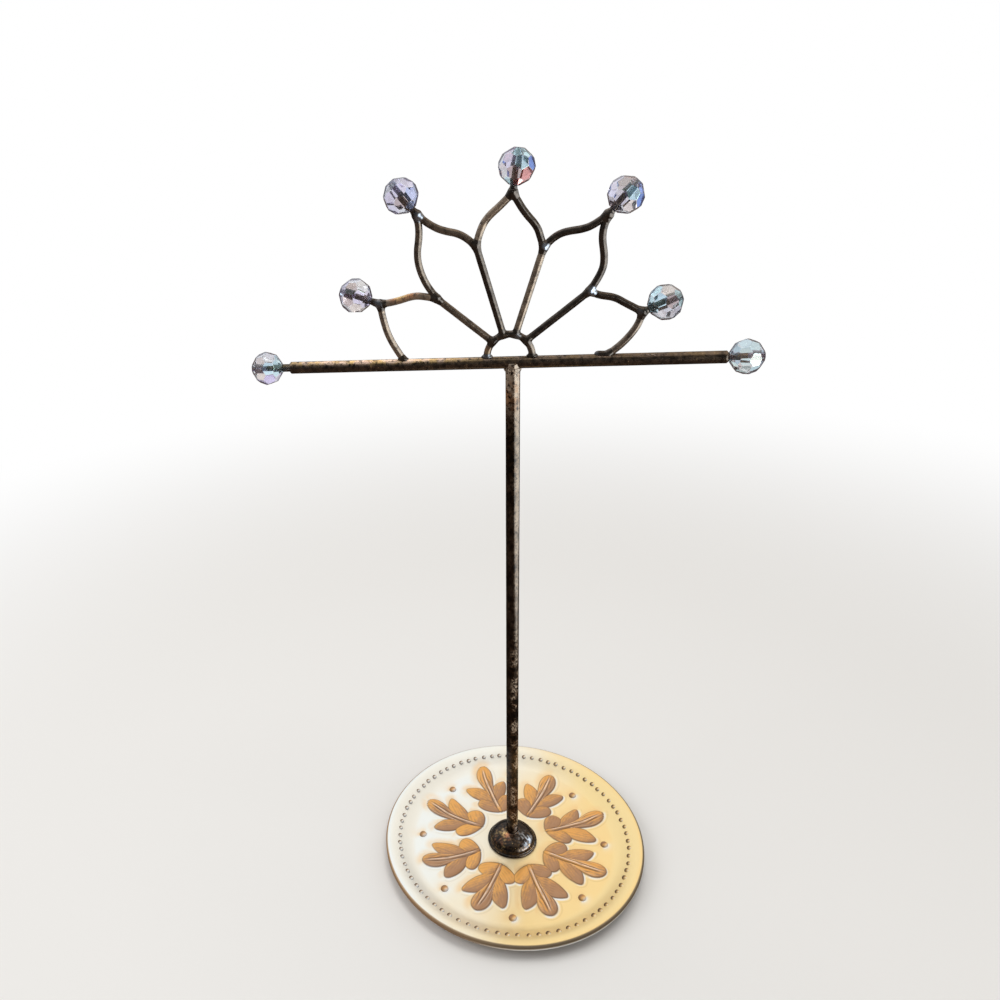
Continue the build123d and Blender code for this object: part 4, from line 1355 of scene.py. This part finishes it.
# Gives each facet its tint and sheen; small facets and the far side have tints of their own
def tintFacets(mesh, side, chooser):
    mesh.attributes.new("facetTint", "FLOAT_COLOR", "FACE")
    mesh.attributes.new("facetSheen", "FLOAT", "FACE")
    tint, sheen = [mesh.attributes[key] for key in ("facetTint", "facetSheen")]
    for face in mesh.polygons:
        place = face.center * 2 / bead["flats"]
        isFacet = face.area > bead["smallFacet"]
        picked = nearestTint(side, place) if isFacet else chooser.choice(bead["smallTints"])
        if place.y > bead["farSide"] and isFacet:
            picked = chooser.choice(bead["farTints"])
        tint.data[face.index].color = (*facetTones[picked], 1.0)
        sheen.data[face.index].value = (chooser.choice(bead["sheens"]) if isFacet
                                        else bead["smallSheen"])


def crystalBead(side, centre, angle, seed):
    mesh = facetedMesh("crystal" + side)
    chooser = random.Random(seed)
    ahead, aside = towardsBead(angle), Vector((0, 1, 0))
    spin = Matrix.Rotation(chooser.uniform(-bead["spin"], bead["spin"]), 4, "Z")
    turn = Matrix((aside, ahead.cross(aside), ahead)).transposed().to_4x4()
    mesh.transform(turn @ spin)
    tintFacets(mesh, side, chooser)
    rounded = mesh.attributes.new("roundNormal", "FLOAT_VECTOR", "POINT")
    for vertex in mesh.vertices:
        rounded.data[vertex.index].vector = vertex.co.normalized()
    mesh.transform(Matrix.Translation(inFan(centre) * mm) @ Matrix.Scale(mm, 4))
    newPiece("bead_" + side, mesh, crystal, "crystal", "crystal_" + side)


crystalBead("bar_left", (bar["left"] - bar["neckLeft"] - bar["beadReach"], 0), 180.0, 4)
crystalBead("bar_right", (bar["right"] + bar["neckRight"] + bar["beadReach"], 0), 0.0, 9)
for index, (side, (angle, gap)) in enumerate(beads.items()):
    reach = fan["ball"] + gap + bar["beadReach"]
    centre = (tips[side][0] + reach * cos(radians(angle)), tips[side][1] + reach * sin(radians(angle)))
    crystalBead(side, centre, angle, 21 + index)
print("stage: crystal beads")


# Floor, light and camera. Sizes and places of the studio are in metres
studio = {
    "floor": tone(0.84, 0.83, 0.81), "floorSize": 12.0, "floorRoughness": 0.9, "floorGloss": 0.1,
    "whiteFrom": (0.25, 0.75), "ambient": 0.55, "ambientTone": tone(1.0, 0.985, 0.97),
    "coolSide": tone(0.92, 0.98, 1.0), "warmSide": tone(1.0, 0.90, 0.74), "sides": (-0.22, 0.26),
    "dim": 0.12, "window": (0.0, 0.68, 0.73), "windowEdge": (0.12, 0.58), "horizon": (0.04, 0.34),
    "table": tone(1.0, 0.60, 0.38), "tableEdge": (-0.10, 0.10),
}
# Place, target, size, power and colour of each lamp, and the pieces that it lights if not all
lamps = {
    "panelRight": ((0.73, -0.16, 0.12), (0, 0, 0.12), (1.8, 1.0), 26.5, (0.86, 0.96, 1.0), darkMetal),
    "highLeft": ((-0.22, 0.46, 0.98), (-0.05, 0, 0.24), (0.36, 0.8), 1.4, (1.0, 0.92, 0.86), darkMetal),
    "lowRight": ((0.30, -0.14, 0.004), (0, 0, 0.16), (0.26, 0.24), 3.6, (0.80, 0.91, 1.0), domeOnly),
    "beadRight": ((0.70, -0.40, 0.36), (0, 0, 0.27), (0.24, 0.80), 3.4, (0.95, 0.98, 1.0), glassWork),
    "overhead": ((0.10, 0.10, 1.20), (0, 0, 0.20), (0.9, 0.4), 4.9, (1.0, 0.98, 0.95), None),
    "softLeft": ((-0.85, -0.25, 0.85), (0, 0, 0.1), (0.7, 0.7), 3.4, (0.96, 0.98, 1.0), None),
}
# The photograph's camera: its place in millimetres, turns in radians, the rest in its pixels
view = {"place": (-1.57, -291.67, 315.8), "yaw": -0.157, "pitch": 0.424, "roll": 0.066,
        "focal": 810.0, "principal": 392.0, "rise": 1.0, "frame": 1000.0, "sensor": 36.0}


# A pale cloth, white far off for the camera and through glass; metal doesn't mirror it
def paleFloor():
    shader = Shader("paleFloor")
    distance = shader.node("VectorMath", {"operation": "LENGTH"}, {0: shader.place()},
                           output="Value")
    camera, passing = shader.outputs("LightPath", ("Is Camera Ray", "Is Transmission Ray"))
    cloth = shader.surface({"Base Color": studio["floor"], "Roughness": studio["floorRoughness"],
                            "Specular IOR Level": studio["floorGloss"]})
    white = shader.node("Emission", None, {"Color": tone(1, 1, 1), "Strength": 1.0})
    far = shader.step(distance, *studio["whiteFrom"])
    mesh = bpy.data.meshes.new("floor")
    half = studio["floorSize"] / 2
    mesh.from_pydata([(-half, -half, 0), (half, -half, 0), (half, half, 0), (-half, half, 0)], [],
                     [(0, 1, 2, 3)])
    mesh.materials.append(shader.finish(shader.mixShaders(far * (camera + passing), cloth, white)))
    floor = placed("floor", mesh)
    floor.visible_glossy = False


# White for the camera and through glass. Gloss sees a window high at the back, a dim room that is
# cool on the left and warm on the right, and a dim warm table below
def surroundings():
    shader = Shader("surroundings", bpy.data.worlds)
    ahead = shader.node("TexCoord", output="Generated")
    sideways, upwards = shader.outputs("SeparateXYZ", ("X", "Z"), {0: ahead})
    facing = shader.node("VectorMath", {"operation": "DOT_PRODUCT"},
                         {0: ahead, 1: studio["window"]}, output="Value")
    window = shader.step(facing, *studio["windowEdge"]) * shader.step(upwards, *studio["horizon"])
    level = studio["dim"] + (1 - studio["dim"]) * window
    shade = shader.mix(shader.step(sideways, *studio["sides"]), studio["coolSide"], studio["warmSide"])
    shade = shader.mix(shader.step(upwards, *studio["tableEdge"]), studio["table"], shade)
    mirrored, white, soft = [
        shader.node("Background", None, {"Color": colour, "Strength": strength})
        for colour, strength in ((shade, level), (tone(1, 1, 1), 1.0),
                                 (studio["ambientTone"], studio["ambient"]))]
    camera, glossy, passing = shader.outputs(
        "LightPath", ("Is Camera Ray", "Is Glossy Ray", "Is Transmission Ray"))
    lit = shader.mixShaders(glossy, soft, mirrored)
    bpy.context.scene.world = shader.finish(shader.mixShaders(camera + passing, lit, white),
                                            "OutputWorld")


# A lamp for some pieces alone only makes highlights on them; one for all pieces makes none
def softLamp(name, place, target, size, power, colour, pieces):
    light = bpy.data.lights.new(name, "AREA")
    light.shape = "RECTANGLE"
    light.size, light.size_y = size
    light.energy = power
    light.color = colour
    lamp = placed(name, light)
    lamp.location = place
    lamp.rotation_mode = "QUATERNION"
    lamp.rotation_quaternion = (Vector(target) - Vector(place)).to_track_quat("-Z", "Y")
    lamp.visible_camera = False
    lamp.light_linking.receiver_collection = pieces
    lamp.visible_diffuse = pieces is None
    lamp.visible_glossy = pieces is not None


def photoCamera():
    yaw, pitch, roll = view["yaw"], view["pitch"], view["roll"]
    ahead = Vector((sin(yaw) * cos(pitch), cos(yaw) * cos(pitch), -sin(pitch)))
    right = Vector((cos(yaw), -sin(yaw), 0))
    down = ahead.cross(right)
    right, down = right * cos(roll) + down * sin(roll), down * cos(roll) - right * sin(roll)
    data = bpy.data.cameras.new("photoCamera")
    data.sensor_width = view["sensor"]
    data.lens = view["focal"] / view["frame"] * view["sensor"]
    data.shift_x = (view["frame"] / 2 - view["principal"]) / view["frame"]
    data.shift_y = view["rise"] / view["frame"]
    data.clip_start, data.clip_end = 0.01, 50
    camera = placed("photoCamera", data)
    turn = Matrix((right, -down, -ahead)).transposed().to_4x4()
    camera.matrix_world = Matrix.Translation(Vector(view["place"]) * mm) @ turn
    bpy.context.scene.camera = camera


paleFloor()
surroundings()
for name, settings in lamps.items():
    softLamp(name, *settings)
photoCamera()
bpy.context.scene.view_settings.view_transform = "Standard"
